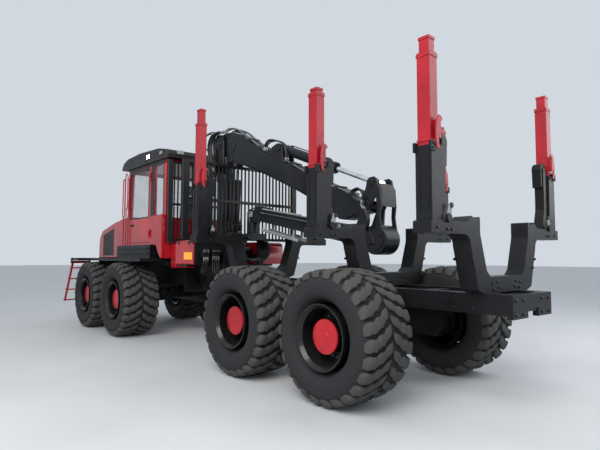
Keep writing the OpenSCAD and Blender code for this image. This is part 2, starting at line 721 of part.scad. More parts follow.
module hanger() color(black) {
  pin_y(hanger_at[0], hanger_at[1], -85, 85, 25);
  pin_y(hanger_at[0], hanger_at[1], -45, 45, 60);
  translate([hanger_at[0], 0, hanger_at[1] - 170]) slab(-50, 50, -44, 44, 0, 140);
}
rotor_z = hanger_at[1] - 170;
module rotator() color(black) translate([hanger_at[0], 0, 0]) {
  translate([0, 0, rotor_z - 190]) cylinder(h = 189.5, r = 110);
}
head_z = rotor_z - 190;
claw_z = head_z - 70;
claw_y = 150;
claw_pin_r = 25;
module pin_x(y, z, x0, x1, r) translate([x0, y, z]) rotate([0, 90, 0]) cylinder(h = x1 - x0, r = r);

module grapple_cheek() {
  cross_plate([
    [-claw_y, claw_z - 58], [claw_y, claw_z - 58], [claw_y, claw_z + 58], [-claw_y, claw_z + 58]
  ], 105, 130);
  for (s = [-1, 1]) pin_x(s * claw_y, claw_z, 105, 130, 58);
}

module grapple_head() color(black) translate([hanger_at[0], 0, 0]) {
  slab(-105, 105, -80, 80, claw_z - 40, head_z - e);
  grapple_cheek();
  mirror([1, 0, 0]) grapple_cheek();
  for (s = [-1, 1]) pin_x(s * claw_y, claw_z, -129, 129, claw_pin_r);
}

// Crescent of a claw, from a first to a last angle round its own centre
function arc(c, r, a0, a1, n) = [for (i = [0:n]) c + r * [cos(a0 + (a1 - a0) * i / n), sin(a0 + (a1 - a0) * i / n)]];
function crescent(a0, a1, n) = let(c = [-60, -230]) concat(arc(c, 210, a0, a1, n), arc(c, 178, a1, a0, n));

module claw(side) color(black)
  translate([hanger_at[0], side * claw_y, claw_z]) mirror([0, side < 0 ? 1 : 0, 0]) difference() {
    union() {
      pin_x(0, 0, -100, 100, 55);
      cross_plate(crescent(80, 42, 4), -100, 100);
      cross_plate(crescent(45, -113.5, 14), -140, 140);
    }
    pin_x(0, 0, -110, 110, claw_pin_r + 0.05);
  }

place() rear_frame();
place() rear_bogies();
place() bunk_ribs();
place() stake_posts();
place() stake_sleeves();
place() gate();
place() gate_posts();
place() side_boxes();
place() crane_base();
place() front_frame();
place() front_bogies();
place() cab_shell();
place() cab_roof();
place() cab_glass();
place() cab_guard();
place() cab_door();
place() door_glass();
place() seat();
place() hood();
place() hood_grille();
place() engine();
place() decks();
place() rear_tank();
place() handrails();
place() work_lamps();
place() ladder();
place() crane_pillar();
place() boom();
place() jib();
place() jib_extension();
place() lift_cylinder();
place() lift_rod();
place() jib_cylinder();
place() jib_rod();
place() hanger();
place() rotator();
place() grapple_head();
place() claw(1);  // claw_left
place() claw(-1);  // claw_right
for (w = WHEELS) {
  place() at_wheel(w) tyre();
  place() at_wheel(w) rim();
}
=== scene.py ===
"""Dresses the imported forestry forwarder: finishes, tyres, hubs, hoses, tubes, fastenings and light.

Every length is in metres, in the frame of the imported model: +X forward, +Y to the machine's left, +Z up.
"""

from __future__ import annotations

import logging
import math
from dataclasses import dataclass, field
from enum import Enum, IntEnum

import bpy
import numpy as np
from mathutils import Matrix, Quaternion, Vector


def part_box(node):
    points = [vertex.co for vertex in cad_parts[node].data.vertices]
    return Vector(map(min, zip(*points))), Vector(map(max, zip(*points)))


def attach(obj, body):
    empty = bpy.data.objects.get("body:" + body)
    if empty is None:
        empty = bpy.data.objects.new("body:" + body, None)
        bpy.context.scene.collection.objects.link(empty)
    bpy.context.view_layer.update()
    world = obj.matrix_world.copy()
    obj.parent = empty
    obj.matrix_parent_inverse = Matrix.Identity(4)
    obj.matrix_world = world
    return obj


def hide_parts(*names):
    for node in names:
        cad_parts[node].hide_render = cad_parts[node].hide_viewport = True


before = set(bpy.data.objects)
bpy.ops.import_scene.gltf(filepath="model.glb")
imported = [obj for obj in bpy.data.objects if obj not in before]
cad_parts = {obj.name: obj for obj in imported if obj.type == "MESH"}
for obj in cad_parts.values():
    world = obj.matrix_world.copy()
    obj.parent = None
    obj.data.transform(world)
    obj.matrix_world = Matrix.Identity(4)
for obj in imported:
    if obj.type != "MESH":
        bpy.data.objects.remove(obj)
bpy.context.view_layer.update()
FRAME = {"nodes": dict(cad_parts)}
NODES = FRAME["nodes"]
LOG = logging.getLogger("forwarder")
Colour = tuple[float, float, float]
Point = tuple[float, float, float]
Outline = list[tuple[float, float]]
Limits = tuple[float, float, float, float]
TURN = 2.0 * math.pi
# X of the rear bogies' middle, which the photograph's measures count from, is -SHIFT
SHIFT = 3.1
UP = np.array([0.0, 0.0, 1.0])
# X and Z of the crane's pins
BOOM_PIVOT = (3.35, 3.80)
JIB_PIVOT = (-0.400, 2.320)
JIB_EYE = (-0.500, 2.620)
HEEL = (-0.540, 1.850)
HANGER = (2.428, 2.407)


class Side(Enum):
    """The machine's two sides, as signs along Y."""

    RIGHT = -1
    LEFT = 1


class Along(IntEnum):
    """The axis that an outline is carried along."""

    X = 0
    Y = 1
    Z = 2


class Step(Enum):
    """A step of arithmetic in a material."""

    ADD = "ADD"
    TIMES = "MULTIPLY"


class Slot(Enum):
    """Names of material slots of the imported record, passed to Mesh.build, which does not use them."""

    TYRE = "tyre"
    RIM = "rim"
    FRAME = "frame_paint"
    RED = "red_paint"
    CRANE = "crane_paint"
    PLASTIC = "dark_plastic"
    SEAT = "seat_cloth"
    CHROME = "chrome"
    LAMP = "lamp"


# both signs, for what stands on each side
SIDES = tuple(side.value for side in Side)


def corners(node: str) -> tuple[np.ndarray, np.ndarray]:
    """Lowest and highest corner of a CAD node, as arrays."""
    low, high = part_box(node)
    return np.array(low), np.array(high)


def add_object(name: str, data: bpy.types.ID) -> bpy.types.Object:
    """Makes an object and links it to the scene.

    Args:
        name: The object's name.
        data: Its mesh, camera or lamp.
    Returns:
        The object.
    """
    made = bpy.data.objects.new(name, data)
    bpy.context.scene.collection.objects.link(made)
    return made


def tint(colour: Colour, by: float) -> Colour:
    """A colour, darker or lighter by a factor."""
    return tuple(c * by for c in colour)


class Nodes:
    """Small builder of a material's node tree."""

    def __init__(self, name: str) -> None:
        """Starts an empty material with a Principled shader.

        Args:
            name: The material's name.
        """
        self.material = bpy.data.materials.new(name)
        self.material.use_nodes = True
        self.tree = self.material.node_tree
        self.shader = self.tree.nodes["Principled BSDF"]
        self.coord = self.tree.nodes.new("ShaderNodeTexCoord")

    def new(self, kind: str, **inputs: object) -> bpy.types.Node:
        """Adds a node and sets or links its inputs.

        Args:
            kind: The node's type without its "ShaderNode" prefix.
            inputs: Values or output sockets, by the input's name with spaces as underscores.
        Returns:
            The node.
        """
        node = self.tree.nodes.new("ShaderNode" + kind)
        self.fill(node, inputs)
        return node

    def fill(self, node: bpy.types.Node, inputs: dict[str, object]) -> None:
        """Sets or links several inputs, by their names with spaces as underscores."""
        for key, value in inputs.items():
            self.put(node, key.replace("_", " "), value)

    def put(self, node: bpy.types.Node, key: str | int, value: object) -> None:
        """Sets an input to a value, or links it to an output socket.

        Args:
            node: The node.
            key: The input's name or number.
            value: The value or the socket.
        """
        if isinstance(value, bpy.types.NodeSocket):
            self.tree.links.new(value, node.inputs[key])
        else:
            node.inputs[key].default_value = value

    def surface(self, **inputs: object) -> None:
        """Sets or links inputs of the shader."""
        self.fill(self.shader, inputs)

    def attribute(self, name: str) -> bpy.types.NodeSocket:
        """Reads a mesh attribute.

        Args:
            name: The attribute's name.
        Returns:
            Its value.
        """
        node = self.new("Attribute")
        node.attribute_name = name
        return node.outputs["Fac"]

    def noise(self, scale: float, detail: float = 3.0, rough: float = 0.6) -> bpy.types.NodeSocket:
        """Noise over the object's own coordinates.

        Args:
            scale: Waves in a metre.
            detail: Number of finer layers.
            rough: Share that each finer layer adds.
        Returns:
            The noise, from 0 to 1.
        """
        node = self.new("TexNoise", Vector=self.coord.outputs["Object"], Scale=scale, Detail=detail,
                        Roughness=rough)
        return node.outputs["Fac"]

    def ramp(self, value: bpy.types.NodeSocket, low: float, high: float, to_low: float = 0.0,
             to_high: float = 1.0) -> bpy.types.NodeSocket:
        """Maps one range to another, clamped.

        Args:
            value: What is mapped.
            low: Where the first range starts.
            high: Where it ends.
            to_low: Where the second range starts.
            to_high: Where it ends.
        Returns:
            The mapped value.
        """
        node = self.new("MapRange")
        for index, item in enumerate((value, low, high, to_low, to_high)):
            self.put(node, index, item)
        return node.outputs[0]

    def math(self, step: Step, a: object, b: object) -> bpy.types.NodeSocket:
        """One step of arithmetic.

        Args:
            step: Which step.
            a: The first value or socket.
            b: The second one.
        Returns:
            The result.
        """
        node = self.new("Math")
        node.operation = step.value
        self.put(node, 0, a)
        self.put(node, 1, b)
        return node.outputs[0]

    def mix(self, factor: bpy.types.NodeSocket, a: object, b: object) -> bpy.types.NodeSocket:
        """Mixes two colours.

        Args:
            factor: The share of the second colour.
            a: The first colour or socket.
            b: The second one.
        Returns:
            The mixed colour.
        """
        node = self.new("Mix")
        node.data_type = "RGBA"
        self.put(node, 0, factor)
        self.put(node, 6, a if isinstance(a, bpy.types.NodeSocket) else (*a, 1.0))
        self.put(node, 7, b if isinstance(b, bpy.types.NodeSocket) else (*b, 1.0))
        return node.outputs[2]

    def up(self) -> bpy.types.NodeSocket:
        """How far a surface faces up, from its own normal."""
        split = self.new("SeparateXYZ", Vector=self.coord.outputs["Normal"])
        return split.outputs[2]

    def edge(self, radius: float) -> tuple[bpy.types.NodeSocket, bpy.types.NodeSocket]:
        """Rounded normal of a surface and a mask of its sharp edges.

        Args:
            radius: Radius of the rounding.
        Returns:
            The rounded normal and the mask, 1 on an edge.
        """
        bevel = self.new("Bevel", Radius=radius)
        bevel.samples = 4
        flat = self.new("NewGeometry")
        dot = self.new("VectorMath")
        dot.operation = "DOT_PRODUCT"
        self.put(dot, 0, bevel.outputs[0])
        self.put(dot, 1, flat.outputs["Normal"])
        return bevel.outputs[0], self.ramp(dot.outputs["Value"], 0.99, 0.86)

    def bump(self, height: bpy.types.NodeSocket, strength: float, distance: float,
             normal: bpy.types.NodeSocket | None = None) -> None:
        """Puts a bump on the shader's normal.

        Args:
            height: The height, from 0 to 1.
            strength: How much of the bump shows.
            distance: Depth of a full bump in metres.
            normal: The normal that it starts from, if not the surface's own.
        """
        node = self.new("Bump", Height=height, Strength=strength, Distance=distance)
        if normal is not None:
            self.put(node, "Normal", normal)
        self.surface(Normal=node.outputs[0])


@dataclass(frozen=True)
class Finish:
    """A procedural finish with a name of its own."""

    name: str
    colour: Colour

    def build(self) -> bpy.types.Material:
        """Makes the material.

        Returns:
            The material.
        """
        n = Nodes(self.name)
        self.shade(n)
        return n.material

    def shade(self, n: Nodes) -> None:
        """Links the nodes that give the finish its looks.

        Args:
            n: The material's nodes.
        """
        raise NotImplementedError


@dataclass(frozen=True)
class Paint(Finish):
    """Sprayed paint with dust on what faces up, worn edges and a faint orange peel."""

    rough: float = 0.42
    coat: float = 0.0
    dust: float = 0.35
    wear: float = 0.5
    dust_colour: Colour = (0.20, 0.18, 0.155)
    bare: Colour = (0.16, 0.155, 0.15)
    edge_radius: float = 0.006
    gloss: float = 0.3

    def shade(self, n: Nodes) -> None:
        """Links the paint's nodes.

        Args:
            n: The material's nodes.
        """
        patch = n.noise(1.7, 5.0)
        fine = n.noise(38.0, 4.0, 0.7)
        speck = n.noise(140.0, 2.0)
        light = tuple(min(1.0, c * 1.12 + 0.004) for c in self.colour)
        colour = n.mix(n.ramp(patch, 0.35, 0.68), tint(self.colour, 0.72), light)
        rounded, edge = n.edge(self.edge_radius)
        worn = n.math(Step.TIMES, edge, n.ramp(fine, 0.50, 0.66, 0.0, self.wear))
        colour = n.mix(worn, colour, self.bare)
        film = n.math(Step.TIMES, n.ramp(n.up(), 0.25, 0.95, 0.16, 1.0), n.ramp(patch, 0.3, 0.75, 0.25, 1.0))
        film = n.math(Step.TIMES, film, n.ramp(fine, 0.2, 0.8, 0.5 * self.dust, self.dust))
        rough = n.math(Step.ADD, n.ramp(fine, 0.3, 0.7, self.rough - 0.06, self.rough + 0.08),
                       n.math(Step.TIMES, film, 0.45))
        n.surface(Base_Color=n.mix(film, colour, self.dust_colour), Roughness=rough,
                  Specular_IOR_Level=self.gloss, Coat_Weight=self.coat, Coat_Roughness=0.08)
        n.bump(speck, 0.10, 0.001, rounded)


@dataclass(frozen=True)
class TyreRubber(Finish):
    """Rubber that is dark on the walls, with painted shade that darkens the carcass between the lugs and the
    lugs' feet, and dusty and chipped on the lugs.

    The mesh attribute "height" is 0 on the carcass and 1 on a lug's worn top; "tread" is 0 on the walls and 1
    on the tread.
    """

    top: Colour
    shaded_groove: Colour

    def shade(self, n: Nodes) -> None:
        """Links the rubber's nodes.

        Args:
            n: The material's nodes.
        """
        patch = n.noise(4.0, 6.0, 0.65)
        grit = n.noise(60.0, 5.0, 0.75)
        cut = n.new("TexVoronoi", Vector=n.coord.outputs["Object"], Scale=26.0)
        cut.feature = "DISTANCE_TO_EDGE"
        wall = n.mix(n.ramp(patch, 0.3, 0.7), self.colour, tint(self.colour, 1.5))
        # the carcass between the lugs and the lugs' feet take a colour darker than the walls: painted shade
        low = n.mix(n.ramp(grit, 0.3, 0.7), self.shaded_groove, tint(self.shaded_groove, 1.35))
        high = n.mix(n.ramp(patch, 0.3, 0.72), tint(self.top, 0.72), self.top)
        high = n.mix(n.ramp(grit, 0.56, 0.72, 0.0, 0.5), high, self.colour)
        tyre = n.mix(n.ramp(n.attribute("height"), 0.25, 0.8), low, high)
        n.surface(Base_Color=n.mix(n.attribute("tread"), wall, tyre),
                  Roughness=n.ramp(patch, 0.2, 0.8, 0.72, 0.92), Specular_IOR_Level=0.35)
        crack = n.ramp(cut.outputs["Distance"], 0.0, 0.08)
        crack = n.math(Step.TIMES, crack, n.ramp(patch, 0.35, 0.6, 0.3, 1.0))
        rise = n.math(Step.ADD, n.math(Step.TIMES, grit, 0.7), n.math(Step.TIMES, crack, 0.6))
        n.bump(rise, 0.55, 0.006)


@dataclass(frozen=True)
class Metal(Finish):
    """Bare metal: chrome, zinc or a casting, by its roughness and its grain."""

    rough: float
    grain: float = 0.1
    metallic: float = 1.0
    stain: Colour = (0.10, 0.09, 0.08)

    def shade(self, n: Nodes) -> None:
        """Links the metal's nodes.

        Args:
            n: The material's nodes.
        """
        patch = n.noise(7.0, 5.0)
        fine = n.noise(90.0, 3.0)
        n.surface(Base_Color=n.mix(n.ramp(patch, 0.5, 0.8, 0.0, 0.35), self.colour, self.stain),
                  Metallic=self.metallic,
                  Roughness=n.ramp(fine, 0.25, 0.75, self.rough, self.rough + self.grain))
        n.bump(fine, self.grain, 0.001)


@dataclass(frozen=True)
class Pane(Finish):
    """Window glass, slightly green, with a thin film of dust."""

    clear: float = 0.22

    def shade(self, n: Nodes) -> None:
        """Links the glass's nodes.

        Args:
            n: The material's nodes.
        """
        film = n.noise(2.2, 5.0)
        n.surface(Base_Color=n.mix(n.ramp(film, 0.35, 0.75), self.colour, (0.40, 0.44, 0.45)),
                  Roughness=n.ramp(film, 0.3, 0.8, 0.03, 0.12),
                  Alpha=n.ramp(film, 0.3, 0.8, self.clear, self.clear + 0.12),
                  IOR=1.5, Specular_IOR_Level=0.7)


@dataclass(frozen=True)
class Plastic(Finish):
    """Moulded plastic or rubber hose, with a fine grain."""

    rough: float = 0.5
    grain: float = 220.0

    def shade(self, n: Nodes) -> None:
        """Links the plastic's nodes.

        Args:
            n: The material's nodes.
        """
        patch = n.noise(5.0, 4.0)
        fine = n.noise(self.grain, 2.0)
        film = n.math(Step.TIMES, n.ramp(n.up(), 0.2, 0.95), n.ramp(patch, 0.3, 0.7, 0.02, 0.10))
        n.surface(Base_Color=n.mix(film, self.colour, (0.19, 0.175, 0.15)),
                  Roughness=n.ramp(patch, 0.3, 0.7, self.rough - 0.08, self.rough + 0.12))
        n.bump(fine, 0.18, 0.001)


@dataclass(frozen=True)
class Cloth(Finish):
    """Woven seat cloth, with ribs of a few millimetres and some sheen."""

    def shade(self, n: Nodes) -> None:
        """Links the cloth's nodes.

        Args:
            n: The material's nodes.
        """
        wave = n.new("TexWave", Vector=n.coord.outputs["Object"], Scale=60.0, Distortion=0.6)
        patch = n.noise(12.0, 4.0)
        n.surface(Base_Color=n.mix(n.ramp(patch, 0.3, 0.7), self.colour, tint(self.colour, 1.9)),
                  Roughness=n.ramp(patch, 0.2, 0.8, 0.8, 0.95), Sheen_Weight=0.3)
        n.bump(wave.outputs["Fac"], 0.3, 0.002)


@dataclass(frozen=True)
class Lens(Finish):
    """A lamp's or reflector's lens, ribbed, with an even glow: a lit lamp's own light, and on a reflector a
    painted glow.
    """

    glow: float = 0.0

    def shade(self, n: Nodes) -> None:
        """Links the lens's nodes.

        Args:
            n: The material's nodes.
        """
        rib = n.new("TexWave", Vector=n.coord.outputs["Object"], Scale=28.0)
        patch = n.noise(14.0, 3.0)
        ribbed = n.ramp(rib.outputs["Fac"], 0.2, 0.8)
        n.surface(Base_Color=n.mix(ribbed, tint(self.colour, 0.75), self.colour),
                  Roughness=n.ramp(patch, 0.3, 0.7, 0.08, 0.2), Emission_Color=(*self.colour, 1.0),
                  Emission_Strength=self.glow)
        n.bump(rib.outputs["Fac"], 0.4, 0.002)


class Finishes:
    """Every finish of the machine, made once."""

    def __init__(self) -> None:
        """Builds each material."""
        # the last colour darkens the carcass between the lugs: painted shade
        self.tyre = TyreRubber("tyre rubber", (0.0125, 0.0135, 0.015), (0.064, 0.063, 0.060),
                               (0.010, 0.010, 0.010)).build()
        self.rim = Paint("gloss black rim", (0.004, 0.004, 0.005), 0.34, 0.2, 0.03, 0.1).build()
        self.charcoal = Paint("charcoal frame paint", (0.0050, 0.0058, 0.0072), 0.42, 0.05, 0.04, 0.30,
                              gloss=0.2).build()
        self.crane = Paint("charcoal crane paint", (0.0052, 0.0062, 0.0078), 0.38, 0.1, 0.035, 0.35,
                           gloss=0.2).build()
        self.red = Paint("gloss red paint", (0.40, 0.0045, 0.013), 0.26, 0.4, 0.04, 0.15).build()
        self.stake = Paint("satin red stake paint", (0.36, 0.0065, 0.016), 0.40, 0.1, 0.05, 0.35).build()
        self.hub = Paint("red hub paint", (0.42, 0.006, 0.014), 0.36, 0.2, 0.05, 0.2).build()
        self.steel = Paint("light grey steel", (0.26, 0.27, 0.28), 0.42, 0.0, 0.10, 0.4).build()
        self.glass = Pane("cab glass", (0.20, 0.25, 0.26), 0.10).build()
        self.plastic = Plastic("black moulding", (0.006, 0.006, 0.007)).build()
        self.hose = Plastic("hose rubber", (0.006, 0.006, 0.006), 0.42, 420.0).build()
        self.seat = Cloth("seat cloth", (0.022, 0.022, 0.026)).build()
        self.casting = Metal("engine casting", (0.20, 0.20, 0.20), 0.5, 0.3, 0.6).build()
        self.chrome = Metal("hard chrome", (0.82, 0.83, 0.85), 0.07, 0.05).build()
        self.zinc = Metal("zinc tube", (0.24, 0.245, 0.25), 0.34, 0.15).build()
        self.lamp = Lens("clear lamp lens", (0.30, 0.31, 0.32)).build()
        self.lit = Lens("lit lamp lens", (1.0, 0.93, 0.72), 30.0).build()
        # the reflector is no lamp: its glow of 0.15 is painted glow
        self.amber = Lens("amber reflector", (1.0, 0.42, 0.02), 0.15).build()

    def dress_nodes(self) -> None:
        """Gives every CAD node its finish."""
        by_node = {
            "charcoal": ["rear_frame", "rear_bogies", "bunk_ribs", "stake_posts", "gate", "gate_posts",
                         "front_frame", "front_bogies", "cab_guard", "decks"],
            "crane": ["crane_base", "crane_pillar", "boom", "jib", "jib_extension", "lift_cylinder",
                      "jib_cylinder", "hanger", "rotator", "grapple_head", "claw_left", "claw_right"],
            "red": ["side_boxes", "cab_shell", "cab_door", "hood", "rear_tank", "handrails", "ladder"],
            "stake": ["stake_sleeves"],
            "plastic": ["cab_roof", "hood_grille"],
            "glass": ["cab_glass", "door_glass"],
            "seat": ["seat"],
            "casting": ["engine"],
            "chrome": ["lift_rod", "jib_rod"],
            "lamp": ["work_lamps"],
        }
        for finish, names in by_node.items():
            for name in names:
                self.put(NODES[name], getattr(self, finish))
        for name, node in NODES.items():
            if name.startswith("rim_"):
                self.put(node, self.rim)
            if name.startswith("tyre_"):
                self.put(node, self.tyre)
        LOG.info("dressed %d nodes", len(NODES))

    @staticmethod
    def put(piece: bpy.types.Object, material: bpy.types.Material) -> None:
        """Makes a material a piece's only one."""
        piece.data.materials.clear()
        piece.data.materials.append(material)


@dataclass
class Mesh:
    """Vertices and faces collected as arrays, then made one object."""

    verts: list[np.ndarray] = field(default_factory=list)
    quads: list[np.ndarray] = field(default_factory=list)
    tris: list[np.ndarray] = field(default_factory=list)
    polys: list[list[int]] = field(default_factory=list)
    values: dict[str, list[np.ndarray]] = field(default_factory=dict)
    count: int = 0

    def add(self, verts: np.ndarray, quads: np.ndarray | None = None, tris: np.ndarray | None = None,
            polys: list[list[int]] | None = None, **values: np.ndarray) -> None:
        """Adds vertices with the faces between them.

        Args:
            verts: Points, one row each.
            quads: Rows of four indices into verts.
            tris: Rows of three indices into verts.
            polys: Lists of indices of faces with more corners.
            values: Values of mesh attributes, one for each vertex.
        """
        self.verts.append(verts)
        if quads is not None:
            self.quads.append(quads + self.count)
        if tris is not None:
            self.tris.append(tris + self.count)
        self.polys += [[i + self.count for i in poly] for poly in polys or []]
        for key, value in values.items():
            self.values.setdefault(key, []).append(value)
        self.count += len(verts)

    def build(self, name: str, material: bpy.types.Material, body: str, slot: Slot,
              sharp: float = 40.0) -> bpy.types.Object:
        """Makes the object and lets it ride on a body.

        Args:
            name: The piece's name.
            material: Its finish.
            body: The CAD body that it moves with.
            slot: Not used.
            sharp: Angle in degrees over which an edge stays sharp.
        Returns:
            The object.
        """
        verts = np.concatenate(self.verts)
        faces = [q.tolist() for q in self.quads] + [t.tolist() for t in self.tris]
        mesh = bpy.data.meshes.new(name)
        mesh.from_pydata(verts.tolist(), [], [f for group in faces for f in group] + self.polys)
        for key, parts in self.values.items():
            layer = mesh.attributes.new(key, "FLOAT", "POINT")
            layer.data.foreach_set("value", np.concatenate(parts).astype(np.float32))
        mesh.validate()
        mesh.update()
        mesh.shade_smooth()
        mesh.set_sharp_from_angle(angle=math.radians(sharp))
        mesh.materials.append(material)
        piece = add_object(name, mesh)
        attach(piece, body)
        LOG.info("%s: %d faces on %s", name, len(mesh.polygons), body)
        return piece


def grid_faces(rows: int, columns: int) -> np.ndarray:
    """Quads of a pile of closed rings whose vertices lie ring after ring.

    Args:
        rows: Number of rings.
        columns: Number of vertices in a ring.
    Returns:
        Rows of four indices.
    """
    r = np.arange(rows - 1)[:, None]
    c = np.arange(columns)[None, :]
    d = (c + 1) % columns
    quads = np.stack([r * columns + c, r * columns + d, (r + 1) * columns + d, (r + 1) * columns + c], -1)
    return quads.reshape(-1, 4)


def fan(start: int, columns: int, centre: int, flip: bool) -> np.ndarray:
    """Triangles from a ring of vertices to its centre.

    Args:
        start: Index of the ring's first vertex.
        columns: Number of vertices in the ring.
        centre: Index of the centre.
        flip: Whether the triangles turn the other way.
    Returns:
        Rows of three indices.
    """
    c = np.arange(columns)
    d = (c + 1) % columns
    ring = (start + d, start + c) if flip else (start + c, start + d)
    return np.stack([*ring, np.full(columns, centre)], -1)


def end_fans(sides: int, count: int) -> np.ndarray:
    """Triangles that close both ends of a pile of rings; its two centres follow its count vertices."""
    return np.concatenate([fan(0, sides, count, True), fan(count - sides, sides, count + 1, False)])


def copies(faces: np.ndarray, times: int, size: int) -> np.ndarray:
    """Faces of equal pieces that lie one after the other, each of size vertices."""
    return (faces[None] + (np.arange(times) * size)[:, None, None]).reshape(-1, faces.shape[1])


def angles(count: int) -> np.ndarray:
    """Even steps of one turn."""
    return np.arange(count) * TURN / count


def signed_power(values: np.ndarray, exponent: float) -> np.ndarray:
    """A power of the size of each value, with the value's sign."""
    return np.sign(values) * np.abs(values) ** exponent


def unit_ring(axis: Point | np.ndarray, sides: int) -> tuple[np.ndarray, np.ndarray]:
    """The unit circle square to an axis: cosine times one unit vector plus sine times another.

    Args:
        axis: The axis.
        sides: Number of points on the circle.
    Returns:
        The points, and the axis as a unit vector.
    """
    w = np.asarray(axis, float)
    w = w / np.linalg.norm(w)
    helper = UP if abs(w[2]) < 0.9 else np.array([1.0, 0.0, 0.0])
    u = np.cross(helper, w)
    u /= np.linalg.norm(u)
    a = angles(sides)
    return np.cos(a)[:, None] * u + np.sin(a)[:, None] * np.cross(w, u), w


def revolve(mesh: Mesh, profile: np.ndarray, centre: np.ndarray, axis: Point | np.ndarray,
            sides: int = 48) -> None:
    """Turns a profile round an axis.

    A point is the centre, plus the radius times the unit circle's direction, plus the height times the axis.

    Args:
        mesh: The mesh that gets the surface.
        profile: Rows of radius and height along the axis; its ends are both on the axis or both off it.
        centre: The profile's origin.
        axis: The axis, along which height grows.
        sides: Number of steps of the turn.
    """
    ring, w = unit_ring(axis, sides)
    closed = profile[0, 0] == 0
    rows = profile[1:-1] if closed else profile
    verts = (centre + rows[:, 0, None, None] * ring[None] + rows[:, 1, None, None] * w).reshape(-1, 3)
    tris = None
    if closed:
        verts = np.concatenate([verts, centre + profile[[0, -1], 1:] * w])
        tris = end_fans(sides, len(rows) * sides)
    mesh.add(verts, grid_faces(len(rows), sides), tris)


def smooth_path(points: np.ndarray, steps: int = 10) -> np.ndarray:
    """Passes a smooth curve through points.

    Between two points it is a cubic; its slope at each is half the way from the one before to the one after.

    Args:
        points: Rows of the points that the curve goes through.
        steps: Number of steps between two of them.
    Returns:
        The curve's points.
    """
    p = np.concatenate([2 * points[:1] - points[1:2], points, 2 * points[-1:] - points[-2:-1]])
    t = np.linspace(0, 1, steps, endpoint=False)[None, :, None]
    a, b, c, d = (p[i:len(p) - 3 + i][:, None, :] for i in range(4))
    curve = 0.5 * (2 * b + (c - a) * t + (2 * a - 5 * b + 4 * c - d) * t ** 2
                   + (3 * b - a - 3 * c + d) * t ** 3)
    return np.concatenate([curve.reshape(-1, 3), p[-2:-1]])


def sweep(mesh: Mesh, path: np.ndarray, radius: float, sides: int = 10) -> None:
    """Carries a circle along a path.

    A point is the path's, plus the radius times a direction of the ring there. The cross product of the
    tangents with one steady vector gives each ring's plane.

    Args:
        mesh: The mesh that gets the tube.
        path: The centreline's points.
        radius: The tube's radius.
        sides: Number of corners of a ring.
    """
    tangent = np.gradient(path, axis=0)
    tangent /= np.linalg.norm(tangent, axis=1)[:, None]
    spread = np.abs(tangent).max(axis=0)
    side = np.eye(3)[int(np.argmin(spread))]
    u = np.cross(tangent, side)
    u /= np.linalg.norm(u, axis=1)[:, None]
    v = np.cross(tangent, u)
    a = angles(sides)
    around = np.cos(a)[None, :, None] * u[:, None] + np.sin(a)[None, :, None] * v[:, None]
    rings = path[:, None] + radius * around
    verts = np.concatenate([rings.reshape(-1, 3), path[:1], path[-1:]])
    mesh.add(verts, grid_faces(len(path), sides), end_fans(sides, len(path) * sides))


def bolts(mesh: Mesh, spots: np.ndarray, axis: Point | np.ndarray, radius: float, height: float) -> None:
    """Hexagon heads on washers, all along one axis.

    One profile, turned in six steps, is copied to each spot.

    Args:
        mesh: The mesh that gets them.
        spots: Rows of points on the surface.
        axis: Where the heads point.
        radius: Radius of a head's corners.
        height: Height of a head over its washer.
    """
    ring, w = unit_ring(axis, 6)
    washer, thick = 1.35, 0.003
    levels = np.array([[washer, -0.002], [washer, thick], [1.0, thick], [1.0, thick + height * 0.8],
                       [0.8, thick + height]])
    one = radius * levels[:, 0, None, None] * ring[None] + levels[:, 1, None, None] * w
    one = np.concatenate([one.reshape(-1, 3), levels[[0, -1], 1:] * w])
    mesh.add((spots[:, None] + one[None]).reshape(-1, 3),
             copies(grid_faces(len(levels), 6), len(spots), len(one)),
             copies(end_fans(6, 6 * len(levels)), len(spots), len(one)))


def at(*points: Point) -> np.ndarray:
    """Points measured from the rear bogies' middle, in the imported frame."""
    return np.array(points, float) - np.array([SHIFT, 0.0, 0.0])


def inset(outline: np.ndarray, width: float) -> np.ndarray:
    """Draws a closed outline in.

    A corner moves by the width times the sum of its edges' normals, over one plus the cosine of their turn.

    Args:
        outline: Rows of corners, counterclockwise.
        width: How far each edge moves.
    Returns:
        The smaller outline's corners.
    """
    before = outline - np.roll(outline, 1, 0)
    after = np.roll(outline, -1, 0) - outline
    before = before / np.linalg.norm(before, axis=1)[:, None]
    after = after / np.linalg.norm(after, axis=1)[:, None]
    bisector = np.stack([-(before[:, 1] + after[:, 1]), before[:, 0] + after[:, 0]], -1)
    stretch = np.maximum(1.0 + np.sum(before * after, axis=1), 0.3)
    return outline + width * bisector / stretch[:, None]


def prism(mesh: Mesh, outline: Outline, axis: Along, low: float, high: float, edge: float = 0.005) -> None:
    """Carries a closed outline along X, Y or Z, with chamfered rims.

    It is copied to four levels, drawn in by the chamfer at the first and the last.

    Args:
        mesh: The mesh that gets the prism.
        outline: Corners in the other two directions, measured from the rear bogies' middle.
        axis: The axis that it is carried along.
        low: Where the prism starts on its axis.
        high: Where it ends.
        edge: Width of the chamfer.
    """
    p = np.array(outline, float)
    x, y = p.T
    if np.sum(x * np.roll(y, -1) - np.roll(x, -1) * y) < 0:
        p = p[::-1]
    edge = min(edge, 0.4 * (high - low))
    small = inset(p, edge)
    rows = [np.insert(shape, axis, level, axis=1)
            for shape, level in ((small, low), (p, low + edge), (p, high - edge), (small, high))]
    n = len(p)
    quads = grid_faces(4, n)
    caps = [list(range(n))[::-1], list(range(3 * n, 4 * n))]
    if axis is Along.Y:
        quads, caps = quads[:, ::-1], [cap[::-1] for cap in caps]
    mesh.add(np.concatenate(rows) - np.array([SHIFT, 0.0, 0.0]), quads, None, caps)


